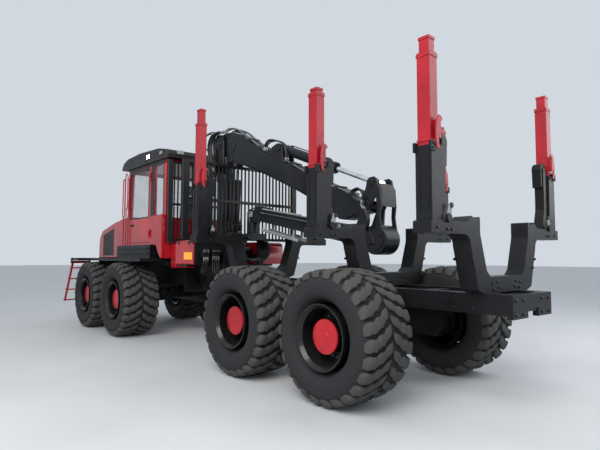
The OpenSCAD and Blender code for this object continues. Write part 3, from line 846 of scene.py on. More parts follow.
def disc(mesh: Mesh, centre: Point, axis: Point, radius: float, height: float, edge: float = 0.004,
         sides: int = 40) -> None:
    """A round bar or boss with chamfered ends, turned from its profile.

    Args:
        mesh: The mesh that gets it.
        centre: Middle of its first end, from the rear bogies' middle.
        axis: Where it points.
        radius: Its radius.
        height: Its length.
        edge: Width of the chamfers.
        sides: Number of steps round it.
    """
    edge = min(edge, 0.45 * height, 0.45 * radius)
    profile = np.array([[0, 0], [radius - edge, 0], [radius, edge], [radius, height - edge],
                        [radius - edge, height], [0, height]])
    revolve(mesh, profile, at(centre)[0], axis, sides)


def rod(mesh: Mesh, a: Point, b: Point, radius: float, sides: int = 20) -> None:
    """A round bar between two points."""
    run = np.array(b, float) - np.array(a, float)
    disc(mesh, a, tuple(run), radius, float(np.linalg.norm(run)), 0.002, sides)


def hose(rubber: Mesh, metal: Mesh, points: list[Point], radius: float = 0.011) -> None:
    """A hose swept along a smooth path, with a crimped sleeve and a nut turned at each end.

    Args:
        rubber: The mesh that gets the hose.
        metal: The mesh that gets its ends.
        points: What it passes through, from the rear bogies' middle.
        radius: The hose's radius.
    """
    path = smooth_path(at(*points), 7)
    sweep(rubber, path, radius, 10)
    for end, inner in ((path[0], path[2]), (path[-1], path[-3])):
        way = (inner - end) / np.linalg.norm(inner - end)
        profile = np.array([[0, -0.012], [1.30, -0.012], [1.30, 0.006], [1.12, 0.007], [1.12, 0.012],
                            [1.28, 0.014], [1.28, 0.050], [1.02, 0.054], [0, 0.054]])
        revolve(metal, profile * np.array([radius, 1.0]), end, way, 14)


def pair(points: Outline, side: int) -> Outline:
    """An outline in Y and Z, mirrored for the machine's right side."""
    return [(side * y, z) for y, z in points]


def rect(a0: float, a1: float, b0: float, b1: float) -> Outline:
    """The outline of a rectangle, from its limits in the two directions."""
    return [(a0, b0), (a1, b0), (a1, b1), (a0, b1)]


def border(outer: Limits, inner: Limits) -> list[Outline]:
    """The four strips between two rectangles: below, above and at both ends of the inner one.

    Args:
        outer: The outer rectangle's limits.
        inner: The inner one's.
    Returns:
        The strips' outlines.
    """
    a0, a1, b0, b1 = outer
    c0, c1, d0, d1 = inner
    return [rect(a0, a1, b0, d0), rect(a0, a1, d1, b1), rect(a0, c0, d0, d1), rect(c1, a1, d0, d1)]


def flank(mesh: Mesh, side: int, outline: Outline, near: float, far: float, edge: float = 0.005) -> None:
    """A prism on one side of the machine, between two distances from its middle plane."""
    prism(mesh, outline, Along.Y, *sorted((side * near, side * far)), edge)


def boss(mesh: Mesh, side: int, place: tuple[float, float], near: float, radius: float, height: float,
         edge: float = 0.004, sides: int = 40) -> None:
    """A round boss on one side of the machine, standing outwards at X and Z."""
    disc(mesh, (place[0], side * near, place[1]), (0, side, 0), radius, height, edge, sides)


def circle(centre: Point, radius: float, count: int, plane: tuple[int, int]) -> np.ndarray:
    """Points evenly round a centre: the radius times the cosine and the sine of each angle.

    Args:
        centre: The centre.
        radius: The circle's radius.
        count: Number of points.
        plane: The two axes that the circle lies along.
    Returns:
        Rows of points.
    """
    a = angles(count)
    points = np.zeros((count, 3))
    points[:, plane[0]], points[:, plane[1]] = radius * np.cos(a), radius * np.sin(a)
    return np.asarray(centre, float) + points


@dataclass
class Crane:
    """Boom, jib and pillar with their plates, tubes and hoses."""

    finishes: Finishes
    half: float = 0.130
    arm_in: float = 0.142
    arm_out: float = 0.177
    cheek_in: float = 0.145
    cheek_out: float = 0.185
    slope: float = math.radians(10.7)
    root: tuple[float, float] = (-0.520, 1.850)

    def on_jib(self, points: Outline) -> Outline:
        """X and Z of points of the jib, from its tube's root along its length and square to it."""
        c, s = math.cos(self.slope), math.sin(self.slope)
        return [(self.root[0] + run * c - up * s, self.root[1] + run * s + up * c) for run, up in points]

    def pillar(self) -> None:
        """The pillar: flange, column, saddle and the round cheeks that hold the boom's pivot."""
        mesh = Mesh()
        for z, radius, height, edge in ((1.9005, 0.245, 0.060, 0.008), (1.940, 0.170, 1.440, 0.004),
                                        (2.020, 0.186, 0.120, 0.012), (3.080, 0.182, 0.150, 0.012)):
            disc(mesh, (BOOM_PIVOT[0], 0, z), (0, 0, 1), radius, height, edge, 64)
        prism(mesh, rect(3.16, 3.55, 3.23, 3.39), Along.Y, -self.cheek_out, self.cheek_out, 0.008)
        for s in SIDES:
            flank(mesh, s, [(3.16, 3.25), (3.55, 3.25), (3.54, 3.80), (3.50, 3.93), (3.41, 3.99),
                            (3.29, 3.99), (3.20, 3.93), (3.16, 3.80)], self.cheek_in, self.cheek_out, 0.006)
            boss(mesh, s, BOOM_PIVOT, self.cheek_out, 0.120, 0.014)
            boss(mesh, s, BOOM_PIVOT, self.cheek_out + 0.014, 0.070, 0.010)
            flank(mesh, s, [(2.94, 2.12), (3.22, 2.08), (3.22, 2.32), (2.96, 2.28)], 0.092, 0.122)
            boss(mesh, s, (3.02, 2.20), 0.122, 0.055, 0.016)
        spots = circle(at((BOOM_PIVOT[0], 0, 1.9605))[0], 0.222, 24, (0, 1))
        bolts(mesh, spots, UP, 0.015, 0.016)
        piece = mesh.build("crane_pillar_dressed", self.finishes.crane, "pillar", Slot.CRANE)
        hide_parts("crane_pillar")

    def boom(self) -> None:
        """The boom: two side plates and a core that leaves the lift cylinder's slot open."""
        mesh = Mesh()
        back = [(3.540, 3.740), (3.515, 3.880), (3.480, 3.945), (3.430, 3.980), (3.350, 3.995),
                (3.050, 3.995), (2.930, 3.975), (2.800, 3.935), (2.437, 3.729), (2.088, 3.513),
                (1.900, 3.405), (1.640, 3.300), (0.855, 2.907), (0.540, 2.740), (0.000, 2.524),
                (-0.130, 2.455), (-0.210, 2.402)]
        nose = [(-0.400, 2.398), (-0.455, 2.375), (-0.478, 2.320), (-0.455, 2.265), (-0.400, 2.242),
                (-0.150, 2.212), (-0.100, 2.190), (0.040, 2.150), (0.130, 2.165), (0.337, 2.323),
                (1.108, 2.695), (1.994, 3.075), (2.560, 3.285)]
        head = [(3.290, 3.605), (3.440, 3.610)]
        cover, cover_face = (2.985, 3.746), self.half + 0.008
        for s in SIDES:
            flank(mesh, s, [*back, *nose, (3.000, 3.400), *head], 0.070, self.half, 0.006)
            flank(mesh, s, [(1.850, 3.385), (1.720, 3.490), (1.640, 3.515), (1.560, 3.528), (1.490, 3.500),
                            (1.450, 3.440), (1.420, 3.190), (1.640, 3.300)], 0.092, 0.128)
            boss(mesh, s, (1.55, 3.44), 0.128, 0.060, 0.012)
            boss(mesh, s, cover, self.half, 0.175, 0.008, 0.003, 64)
            boss(mesh, s, cover, cover_face, 0.030, 0.008)
            boss(mesh, s, JIB_PIVOT, self.half, 0.078, 0.010)
            boss(mesh, s, (2.960, 3.450), self.half, 0.048, 0.012)
            # weld-on stiffener along the lower edge
            flank(mesh, s, [(0.42, 2.400), (1.10, 2.725), (1.98, 3.102), (2.52, 3.303), (2.52, 3.330),
                            (1.97, 3.132), (1.09, 2.757), (0.40, 2.425)], self.half, self.half + 0.010, 0.003)
        prism(mesh, [*back, *nose, (2.780, 3.342), (2.780, 3.580), (3.255, 3.580), *head], Along.Y, -0.0705,
              0.0705, 0.0005)
        disc(mesh, (BOOM_PIVOT[0], -0.1445, BOOM_PIVOT[1]), (0, 1, 0), 0.0598, 0.289)
        for s in SIDES:
            spots = circle(at((cover[0], s * cover_face, cover[1]))[0], 0.150, 10, (0, 2))
            bolts(mesh, spots, (0, s, 0), 0.009, 0.007)
            spots = at(*[(x, s * self.half, z) for x, z in
                         ((3.21, 3.590), (3.12, 3.530), (3.03, 3.468), (2.86, 3.405), (2.70, 3.375))])
            bolts(mesh, spots, (0, s, 0), 0.012, 0.009)
        piece = mesh.build("boom_dressed", self.finishes.crane, "boom", Slot.CRANE)
        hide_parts("boom")

    def jib(self) -> None:
        """The jib's tube, collar and heel drum, and the arms from its pivot to the cylinder's eye."""
        mesh = Mesh()
        # the tube ends short of the hanger
        end = (HANGER[0] - self.root[0]) / math.cos(self.slope) - 0.18
        arm_in, arm_out = self.arm_in, self.arm_out
        for s in SIDES:
            # the tube's upper or lower half, round the extension's room
            tube = ((-0.06, 0.0755), (end, 0.0755), (end, 0.100), (0.30, 0.130), (-0.06, 0.130))
            prism(mesh, self.on_jib([(run, s * up) for run, up in tube]), Along.Y, -0.110, 0.110, 0.006)
        for s in SIDES:
            wall = ((-0.06, -0.126), (end - 0.002, -0.098), (end - 0.002, 0.098), (0.30, 0.126),
                    (-0.06, 0.126))
            flank(mesh, s, self.on_jib(wall), 0.086, 0.109, 0.002)
            flank(mesh, s, self.on_jib(rect(end - 0.22, end, -0.134, 0.134)), 0.100, 0.122, 0.004)
            flank(mesh, s, [(-0.340, 2.290), (-0.205, 1.990), (-0.150, 1.880), (-0.190, 1.780),
                            (-0.340, 1.760), (-0.560, 1.800), (-0.450, 2.030), (-0.470, 2.290)],
                  arm_in, arm_out)
            flank(mesh, s, [(-0.330, 2.300), (-0.330, 2.400), (-0.410, 2.560), (-0.432, 2.655),
                            (-0.470, 2.690), (-0.550, 2.695), (-0.600, 2.660), (-0.622, 2.560),
                            (-0.560, 2.400), (-0.480, 2.290), (-0.440, 2.240), (-0.360, 2.240)],
                  arm_in, arm_out - 0.003)
            flank(mesh, s, [(-0.610, 2.600), (-0.655, 2.520), (-0.668, 2.290), (-0.650, 2.150),
                            (-0.690, 1.900), (-0.620, 1.880), (-0.590, 2.150), (-0.600, 2.290),
                            (-0.560, 2.560)], arm_in, arm_out - 0.006)
            boss(mesh, s, JIB_PIVOT, arm_out, 0.080, 0.012)
            boss(mesh, s, JIB_EYE, arm_out, 0.052, 0.010)
            boss(mesh, s, HEEL, 0.150, 0.150, 0.012)
        for run in (end - 0.21, end - 0.03):
            rib = self.on_jib(rect(run - 0.012, run + 0.012, 0.124, 0.150))
            prism(mesh, rib, Along.Y, -0.10, 0.10, 0.003)
        disc(mesh, (HEEL[0], -0.150, HEEL[1]), (0, 1, 0), 0.200, 0.300, 0.012, 64)
        for s in SIDES:
            boss(mesh, s, JIB_EYE, 0.062, 0.0298, 0.090)
        # plate between the arms
        prism(mesh, [(-0.668, 2.290), (-0.646, 2.290), (-0.640, 2.520), (-0.600, 2.600), (-0.622, 2.600),
                     (-0.662, 2.520)], Along.Y, -0.143, 0.143, 0.002)
        piece = mesh.build("jib_dressed", self.finishes.crane, "jib", Slot.CRANE)
        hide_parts("jib")
        self.guides()

    def guides(self) -> None:
        """The light guide rail on the jib, the toothed bars under it and the plates at its tip."""
        light = Mesh()
        rail = self.on_jib([(1.60, 0.121), (2.66, 0.106), (2.66, 0.128), (1.60, 0.146)])
        prism(light, rail, Along.Y, 0.055, 0.105, 0.003)
        low = np.array([1.08, 1.868])
        run = np.array([0.98, 0.222])
        length = float(np.linalg.norm(run))
        along, square = run / length, np.array([-run[1], run[0]]) / length
        teeth = 26
        comb = []
        for i in range(teeth):
            for share, depth in ((0.0, 0.0), (0.30, 0.018), (0.70, 0.018)):
                comb.append(low + along * length * (i + share) / teeth - square * depth)
        top = [low + along * length, low + along * length + square * 0.030, low + square * 0.030]
        for s in SIDES:
            flank(light, s, [tuple(p) for p in (*comb, *top)], 0.072, 0.098, 0.002)
            for share in (0.12, 0.88):
                x, z = low + along * length * share + square * 0.010
                foot = [(x - 0.02, z), (x + 0.02, z), (x, z + 0.150), (x - 0.04, z + 0.150)]
                flank(light, s, foot, 0.074, 0.096, 0.002)
        light.build("jib_guides", self.finishes.steel, "jib", Slot.CRANE)
        plate = Mesh()
        for s in SIDES:
            flank(plate, s, [(2.330, 2.330), (2.480, 2.345), (2.500, 2.400), (2.470, 2.450), (2.320, 2.430)],
                  0.0845, 0.094, 0.003)
            boss(plate, s, HANGER, 0.094, 0.036, 0.012)
        plate.build("jib_end_plates", self.finishes.steel, "extension", Slot.CRANE)

    def tubes(self) -> None:
        """Steel tubes along the boom's back, with their clamps, and the hoses of its two ends."""
        steel, clamp, rubber, metal = Mesh(), Mesh(), Mesh(), Mesh()
        for i, y in enumerate((-0.095, -0.050, 0.050, 0.095)):
            lift = 0.004 * i
            for run in (((3.30, 4.030), (3.17, 4.075 + lift), (2.93, 4.045 + lift), (2.70, 3.945),
                         (2.53, 3.825), (2.31, 3.690), (2.08, 3.545), (1.93, 3.455)),
                        ((1.36, 3.195), (1.10, 3.060), (0.80, 2.905), (0.45, 2.730), (0.10, 2.590),
                         (-0.06, 2.520))):
                sweep(steel, smooth_path(at(*[(x, y, z) for x, z in run]), 8), 0.013, 12)
        for x, z, turn in ((2.86, 3.985, 24.0), (2.42, 3.742, 31.0), (2.10, 3.543, 31.0), (1.25, 3.124, 26.6),
                           (0.70, 2.845, 27.0), (0.22, 2.630, 22.0)):
            c, s = math.cos(math.radians(turn)), math.sin(math.radians(turn))
            box = [(x + a * c - b * s, z + a * s + b * c) for a, b in rect(-0.022, 0.022, -0.02, 0.034)]
            prism(clamp, box, Along.Y, -0.122, 0.122, 0.004)
        for i, y in enumerate((0.060, 0.090, 0.118)):
            hose(rubber, metal, [(1.95, y, 3.47), (1.93, y, 3.56), (1.82, y, 3.605 + 0.012 * i),
                                 (1.60, y, 3.575), (1.42, y, 3.47), (1.36, y, 3.30), (1.37, y, 3.20)], 0.012)
        for i, y in enumerate((0.040, 0.085, 0.120)):
            hose(rubber, metal, [(-0.05, y, 2.525), (-0.14, y + 0.01, 2.56),
                                 (-0.26, y + 0.03, 2.545 + 0.01 * i), (-0.36, y + 0.06, 2.47),
                                 (-0.40, 0.200 + 0.02 * i, 2.40), (-0.395, 0.205 + 0.02 * i, 2.33)], 0.013)
        steel.build("boom_tubes", self.finishes.zinc, "boom", Slot.CHROME)
        clamp.build("boom_tube_clamps", self.finishes.plastic, "boom", Slot.PLASTIC)
        rubber.build("boom_hoses", self.finishes.hose, "boom", Slot.PLASTIC)
        metal.build("boom_hose_ends", self.finishes.zinc, "boom", Slot.CHROME)

    def jib_hoses(self) -> None:
        """Hoses from the jib's pivot down the arm and along the jib to its tip."""
        rubber, metal = Mesh(), Mesh()
        for i in range(3):
            y = 0.205 + 0.022 * i
            hose(rubber, metal, [(-0.405, y, 2.30), (-0.47, y, 2.22), (-0.50, y, 2.10),
                                 (-0.44, y - 0.01, 1.99), (-0.28, y - 0.04, 1.985), (-0.10, 0.140, 2.00),
                                 (0.15, 0.125, 2.05 + 0.016 * i)], 0.012)
        pipe = self.on_jib([(0.64, 0.06), (1.4, 0.06), (2.2, 0.055), (2.5, 0.05)])
        for y in (0.124, 0.146):
            sweep(metal, at(*[(x, y, z) for x, z in pipe]), 0.010, 10)
        for s in SIDES:
            hose(rubber, metal, [(1.95, s * 0.13, 2.36), (2.10, s * 0.150, 2.44),
                                 (2.28, s * 0.135, 2.47), (2.42, s * 0.110, 2.40),
                                 (2.46, s * 0.100, 2.26), (2.45, s * 0.085, 2.17)], 0.010)
        rubber.build("jib_hoses", self.finishes.hose, "jib", Slot.PLASTIC)
        metal.build("jib_hose_ends", self.finishes.zinc, "jib", Slot.CHROME)

    def pillar_hoses(self) -> None:
        """The two wide loops and the hose bundle beside the pillar's head."""
        rubber, metal = Mesh(), Mesh()
        for i in range(2):
            y, d = 0.215 + 0.026 * i, 0.035 * i
            hose(rubber, metal, [(3.30, y - 0.035, 4.025), (3.45, y, 4.055 - d), (3.60, y, 4.080 - d),
                                 (3.80, y, 4.050 - d), (3.90 - d, y, 3.960), (3.86 - d, y, 3.840),
                                 (3.70 - d, y, 3.728), (3.57, y, 3.56), (3.48, y - 0.01, 3.36)], 0.012)
        for i in range(10):
            y, d = 0.205 + 0.016 * (i % 4), 0.026 * i - 0.20 + 0.012 * (i % 3)
            hose(rubber, metal, [(3.27 + d * 0.6, 0.174 + 0.004 * i, 4.010),
                                 (3.38 + d, y, 4.030 - 0.012 * (i % 3)), (3.55 + d, y, 3.975),
                                 (3.64 + d, y, 3.830), (3.61 + d, y + 0.01, 3.660),
                                 (3.55 + d * 0.6, y, 3.480), (3.49 + d * 0.3, y - 0.01, 3.30)], 0.011)
        prism(metal, rect(3.40, 3.60, 3.27, 3.34), Along.Y, 0.186, 0.255, 0.004)
        rubber.build("pillar_hoses", self.finishes.hose, "pillar", Slot.PLASTIC)
        metal.build("pillar_hose_ends", self.finishes.zinc, "pillar", Slot.CHROME)

    def cylinders(self) -> None:
        """Glands, bands, ports and pipes of the two cylinders."""
        for body, foot, eye, length, radius in (("lift_barrel", (3.020, 2.200), (2.960, 3.340), 0.870, 0.084),
                                                ("jib_barrel", (1.550, 3.440), JIB_EYE, 1.330, 0.080)):
            mesh = Mesh()
            a, b = np.array(foot), np.array(eye)
            way = (b - a) / np.linalg.norm(b - a)
            for start, height, extra in ((length - 0.070, 0.078, 0.007), (length - 0.13, 0.02, 0.004),
                                         (0.085, 0.030, 0.005)):
                p = a + way * start
                rim, hole = radius + extra, radius - 0.030
                profile = np.array([[hole, 0.0], [rim - 0.004, 0.0], [rim, 0.004], [rim, height - 0.004],
                                    [rim - 0.004, height], [hole, height], [hole, 0.0]])
                revolve(mesh, profile, at((p[0], 0, p[1]))[0], (way[0], 0, way[1]), 48)
            # ports on top, with a pipe between them
            side = np.array([-way[1], way[0]])
            if side[1] < 0:
                side = -side
            pipe = []
            for start in (0.20, length - 0.18):
                p = a + way * start + side * (radius - 0.006)
                disc(mesh, (p[0], 0, p[1]), (side[0], 0, side[1]), 0.022, 0.030, 0.003, 6)
                p = a + way * start + side * (radius + 0.020)
                pipe.append((p[0], 0, p[1]))
            rod(mesh, *pipe, 0.009, 12)
            mesh.build(body + "_fittings", self.finishes.crane, body, Slot.CRANE)

    def build(self) -> None:
        """Builds the whole crane."""
        self.pillar()
        self.boom()
        self.jib()
        self.tubes()
        self.jib_hoses()
        self.pillar_hoses()
        self.cylinders()


@dataclass
class Bunk:
    """What the stakes and ribs carry: knuckles, red brackets, collars and bolts."""

    finishes: Finishes
    ribs: tuple[tuple[float, float, float, float], ...] = (
        (2.070, 2.750, 3.750, 3.970), (-0.630, 2.650, 3.550, 3.600), (-2.150, 2.650, 3.540, 3.690))
    stake_out: float = 1.365
    leg_y: float = 1.128
    sleeve_x: float = 0.070
    sleeve_y: float = 0.060

    def build(self) -> None:
        """Builds the fittings of each rib: X, post top, sleeve top and tip top come from the table."""
        black, red, metal, light = Mesh(), Mesh(), Mesh(), Mesh()
        bracket = [(-0.060, 0.330), (-0.105, 0.322), (-0.140, 0.290), (-0.095, 0.250), (-0.062, 0.180),
                   (-0.050, 0.110), (-0.047, 0.050), (-0.056, 0.0), (-0.075, -0.050), (-0.030, -0.045),
                   (-0.006, 0.0), (0.005, 0.050), (0.004, 0.150), (-0.014, 0.260)]
        middle = self.stake_out - 0.075
        rib_bolts = ((0.209, 1.363), (0.313, 1.348), (0.179, 1.305), (0.283, 1.289), (1.067, 1.880),
                     (1.140, 1.880), (1.300, 1.890), (0.700, 1.60), (0.640, 1.50))
        for x, post, sleeve, tip in self.ribs:
            for s in SIDES:
                # knuckle on the post's second leg
                y, top = s * self.leg_y, post + 0.060
                disc(black, (x - 0.055, y, top), (1, 0, 0), 0.084, 0.110, 0.006)
                disc(black, (x - 0.068, y, top), (1, 0, 0), 0.038, 0.136, 0.003)
                prism(black, [(y - 0.070, post - 0.16), (y + 0.070, post - 0.16), (y + 0.080, top),
                              (y - 0.080, top)], Along.X, x - 0.0545, x + 0.0545)
                # curved bracket behind the sleeve, on its pad
                curved = pair([(middle + 0.035 + 0.8 * a, post + 0.85 * b) for a, b in bracket], s)
                prism(red, curved, Along.X, x - 0.1175, x - 0.1035, 0.003)
                prism(red, pair(rect(middle - 0.045, middle - 0.008, post + 0.06, post + 0.24), s), Along.X,
                      x - 0.1165, x - 0.069, 0.003)
                # collars round the sleeve, and the tip's cap
                y = s * middle
                for low, high, more in ((sleeve - 0.050, sleeve - 0.010, 0.006),
                                        (post + 0.032, post + 0.058, 0.007)):
                    a, b = self.sleeve_x + more, self.sleeve_y + more
                    prism(red, rect(x - a, x + a, y - b, y + b), Along.Z, low, high, 0.004)
                cap = rect(x - 0.060, x + 0.060, y - 0.051, y + 0.051)
                prism(red, cap, Along.Z, tip - 0.030, tip + 0.004, 0.004)
                # raised rims on the post's outer face
                for dx in (-0.060, 0.040):
                    flank(black, s, rect(x + dx, x + dx + 0.020, 2.05, post - 0.09), 1.364, 1.372, 0.003)
                # bolts of the post's collar and of the rib
                y = self.stake_out - 0.015
                for reach, radius, height, places in (
                        (0.102, 0.010, 0.008, ((y, post - 0.035), (y, post + 0.008))),
                        (0.100, 0.013, 0.010, rib_bolts)):
                    for way in (-1.0, 1.0):
                        spots = at(*[(x + way * reach, s * a, b) for a, b in places])
                        bolts(metal, spots, (way, 0, 0), radius, height)
                # lever at the foot of the rear face
                lever = pair([(1.100, 1.975), (1.165, 1.975), (1.120, 2.120), (1.060, 2.120)], s)
                prism(light, lever, Along.X, x - 0.112, x - 0.100, 0.003)
                disc(black, (x - 0.124, s * 1.130, 1.985), (1, 0, 0), 0.042, 0.030)
                disc(black, (x - 0.122, s * 1.085, 2.105), (1, 0, 0), 0.026, 0.026)
        black.build("stake_knuckles", self.finishes.charcoal, "rear_unit", Slot.FRAME)
        light.build("stake_levers", self.finishes.steel, "rear_unit", Slot.FRAME)
        red.build("stake_brackets", self.finishes.stake, "rear_unit", Slot.RED)
        metal.build("bunk_bolts", self.finishes.rim, "rear_unit", Slot.FRAME)


@dataclass
class RearUnit:
    """Side boxes, the valve block with its hoses, and the frame's fastenings."""

    finishes: Finishes
    box_in: float = 0.460
    box_out: float = 1.000
    frame_side: float = 0.450
    plate_front: float = 2.784
    plate_thickness: float = 0.020
    hose_radius: float = 0.012

    def boxes(self) -> None:
        """The red side boxes, with an amber reflector on the left one and a hatch on the right one."""
        mesh, dark, amber = Mesh(), Mesh(), Mesh()
        outline = [(2.785, 1.480), (3.460, 1.480), (3.460, 1.840), (3.440, 1.880), (3.400, 1.905),
                   (2.910, 1.905), (2.850, 1.890), (2.800, 1.850), (2.785, 1.800)]
        for s in SIDES:
            flank(mesh, s, outline, self.box_in, self.box_out, 0.014)
            flank(dark, s, [(2.800, 1.866), (3.448, 1.866), (3.448, 1.872), (2.806, 1.872)],
                  self.box_in - 0.004, self.box_out + 0.0025, 0.001)
            for x in (2.92, 3.30):
                clasp = rect(x, x + 0.05, 1.835, 1.895)
                flank(dark, s, clasp, self.box_out - 0.002, self.box_out + 0.010, 0.003)
        hatch = [(2.90, 1.600), (2.96, 1.565), (3.10, 1.555), (3.24, 1.565), (3.30, 1.600), (3.24, 1.670),
                 (3.10, 1.690), (2.96, 1.670)]
        prism(dark, hatch, Along.Y, -self.box_in - 0.001, -self.box_in + 0.006, 0.002)
        # the reflector's amber finish glows on its own: painted glow
        reflector = rect(2.825, 3.110, 1.565, 1.695)
        prism(amber, reflector, Along.Y, self.box_out - 0.001, self.box_out + 0.012, 0.004)
        piece = mesh.build("side_boxes_dressed", self.finishes.red, "rear_unit", Slot.RED)
        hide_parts("side_boxes")
        dark.build("side_box_seams", self.finishes.plastic, "rear_unit", Slot.PLASTIC)
        amber.build("side_reflector_painted_glow", self.finishes.amber, "rear_unit", Slot.RED)

    def valves(self) -> None:
        """The black plate behind the left box, with its valve block, fittings and hoses."""
        plate, rubber, metal = Mesh(), Mesh(), Mesh()
        prism(plate, [(0.465, 1.478), (0.996, 1.478), (0.996, 1.800), (0.90, 1.912), (0.465, 1.912)], Along.X,
              self.plate_front - self.plate_thickness, self.plate_front, 0.004)
        for y, z, h in ((0.60, 1.70, 0.16), (0.80, 1.66, 0.12)):
            prism(plate, rect(y - 0.08, y + 0.08, z - h / 2, z + h / 2), Along.X, 2.690, 2.766, 0.008)
        for i in range(4):
            y = 0.54 + 0.040 * i
            disc(metal, (2.672, y, 1.72), (1, 0, 0), 0.013, 0.022, 0.003, 6)
            hose(rubber, metal, [(2.70, y, 1.615), (2.69, y + 0.01, 1.50), (2.66, y + 0.02, 1.38),
                                 (2.60, 0.50 + 0.03 * i, 1.28)], self.hose_radius)
        for i in range(3):
            y = 0.76 + 0.040 * i
            hose(rubber, metal, [(2.70, y, 1.60), (2.68, y + 0.02, 1.50), (2.74, y + 0.02, 1.40),
                                 (2.95, 0.70 + 0.02 * i, 1.34), (3.20, 0.50, 1.33 + 0.01 * i)],
                 self.hose_radius)
            disc(metal, (2.690, y, 1.69), (0, 0, 1), 0.014, 0.055, 0.003, 6)
        plate.build("valve_block", self.finishes.charcoal, "rear_unit", Slot.FRAME)
        rubber.build("valve_hoses", self.finishes.hose, "rear_unit", Slot.PLASTIC)
        metal.build("valve_fittings", self.finishes.zinc, "rear_unit", Slot.CHROME)

    def bolts(self) -> None:
        """Bolt rows on the frame's sides and its rear plate."""
        mesh = Mesh()
        for s in SIDES:
            for x in (-2.0, -0.5, 2.2):
                spots = at(*[(x + dx, s * self.frame_side, z) for dx in (-0.10, 0.0, 0.10)
                             for z in (1.09, 1.20)])
                bolts(mesh, spots, (0, s, 0), 0.014, 0.011)
            spots = at(*[(-2.520, s * y, z) for y in (0.22, 0.38) for z in (1.05, 1.19)])
            bolts(mesh, spots, (-1, 0, 0), 0.015, 0.012)
        mesh.build("frame_bolts", self.finishes.rim, "rear_unit", Slot.FRAME)

    def build(self) -> None:
        """Builds the rear unit's fittings."""
        self.boxes()
        self.valves()
        self.bolts()


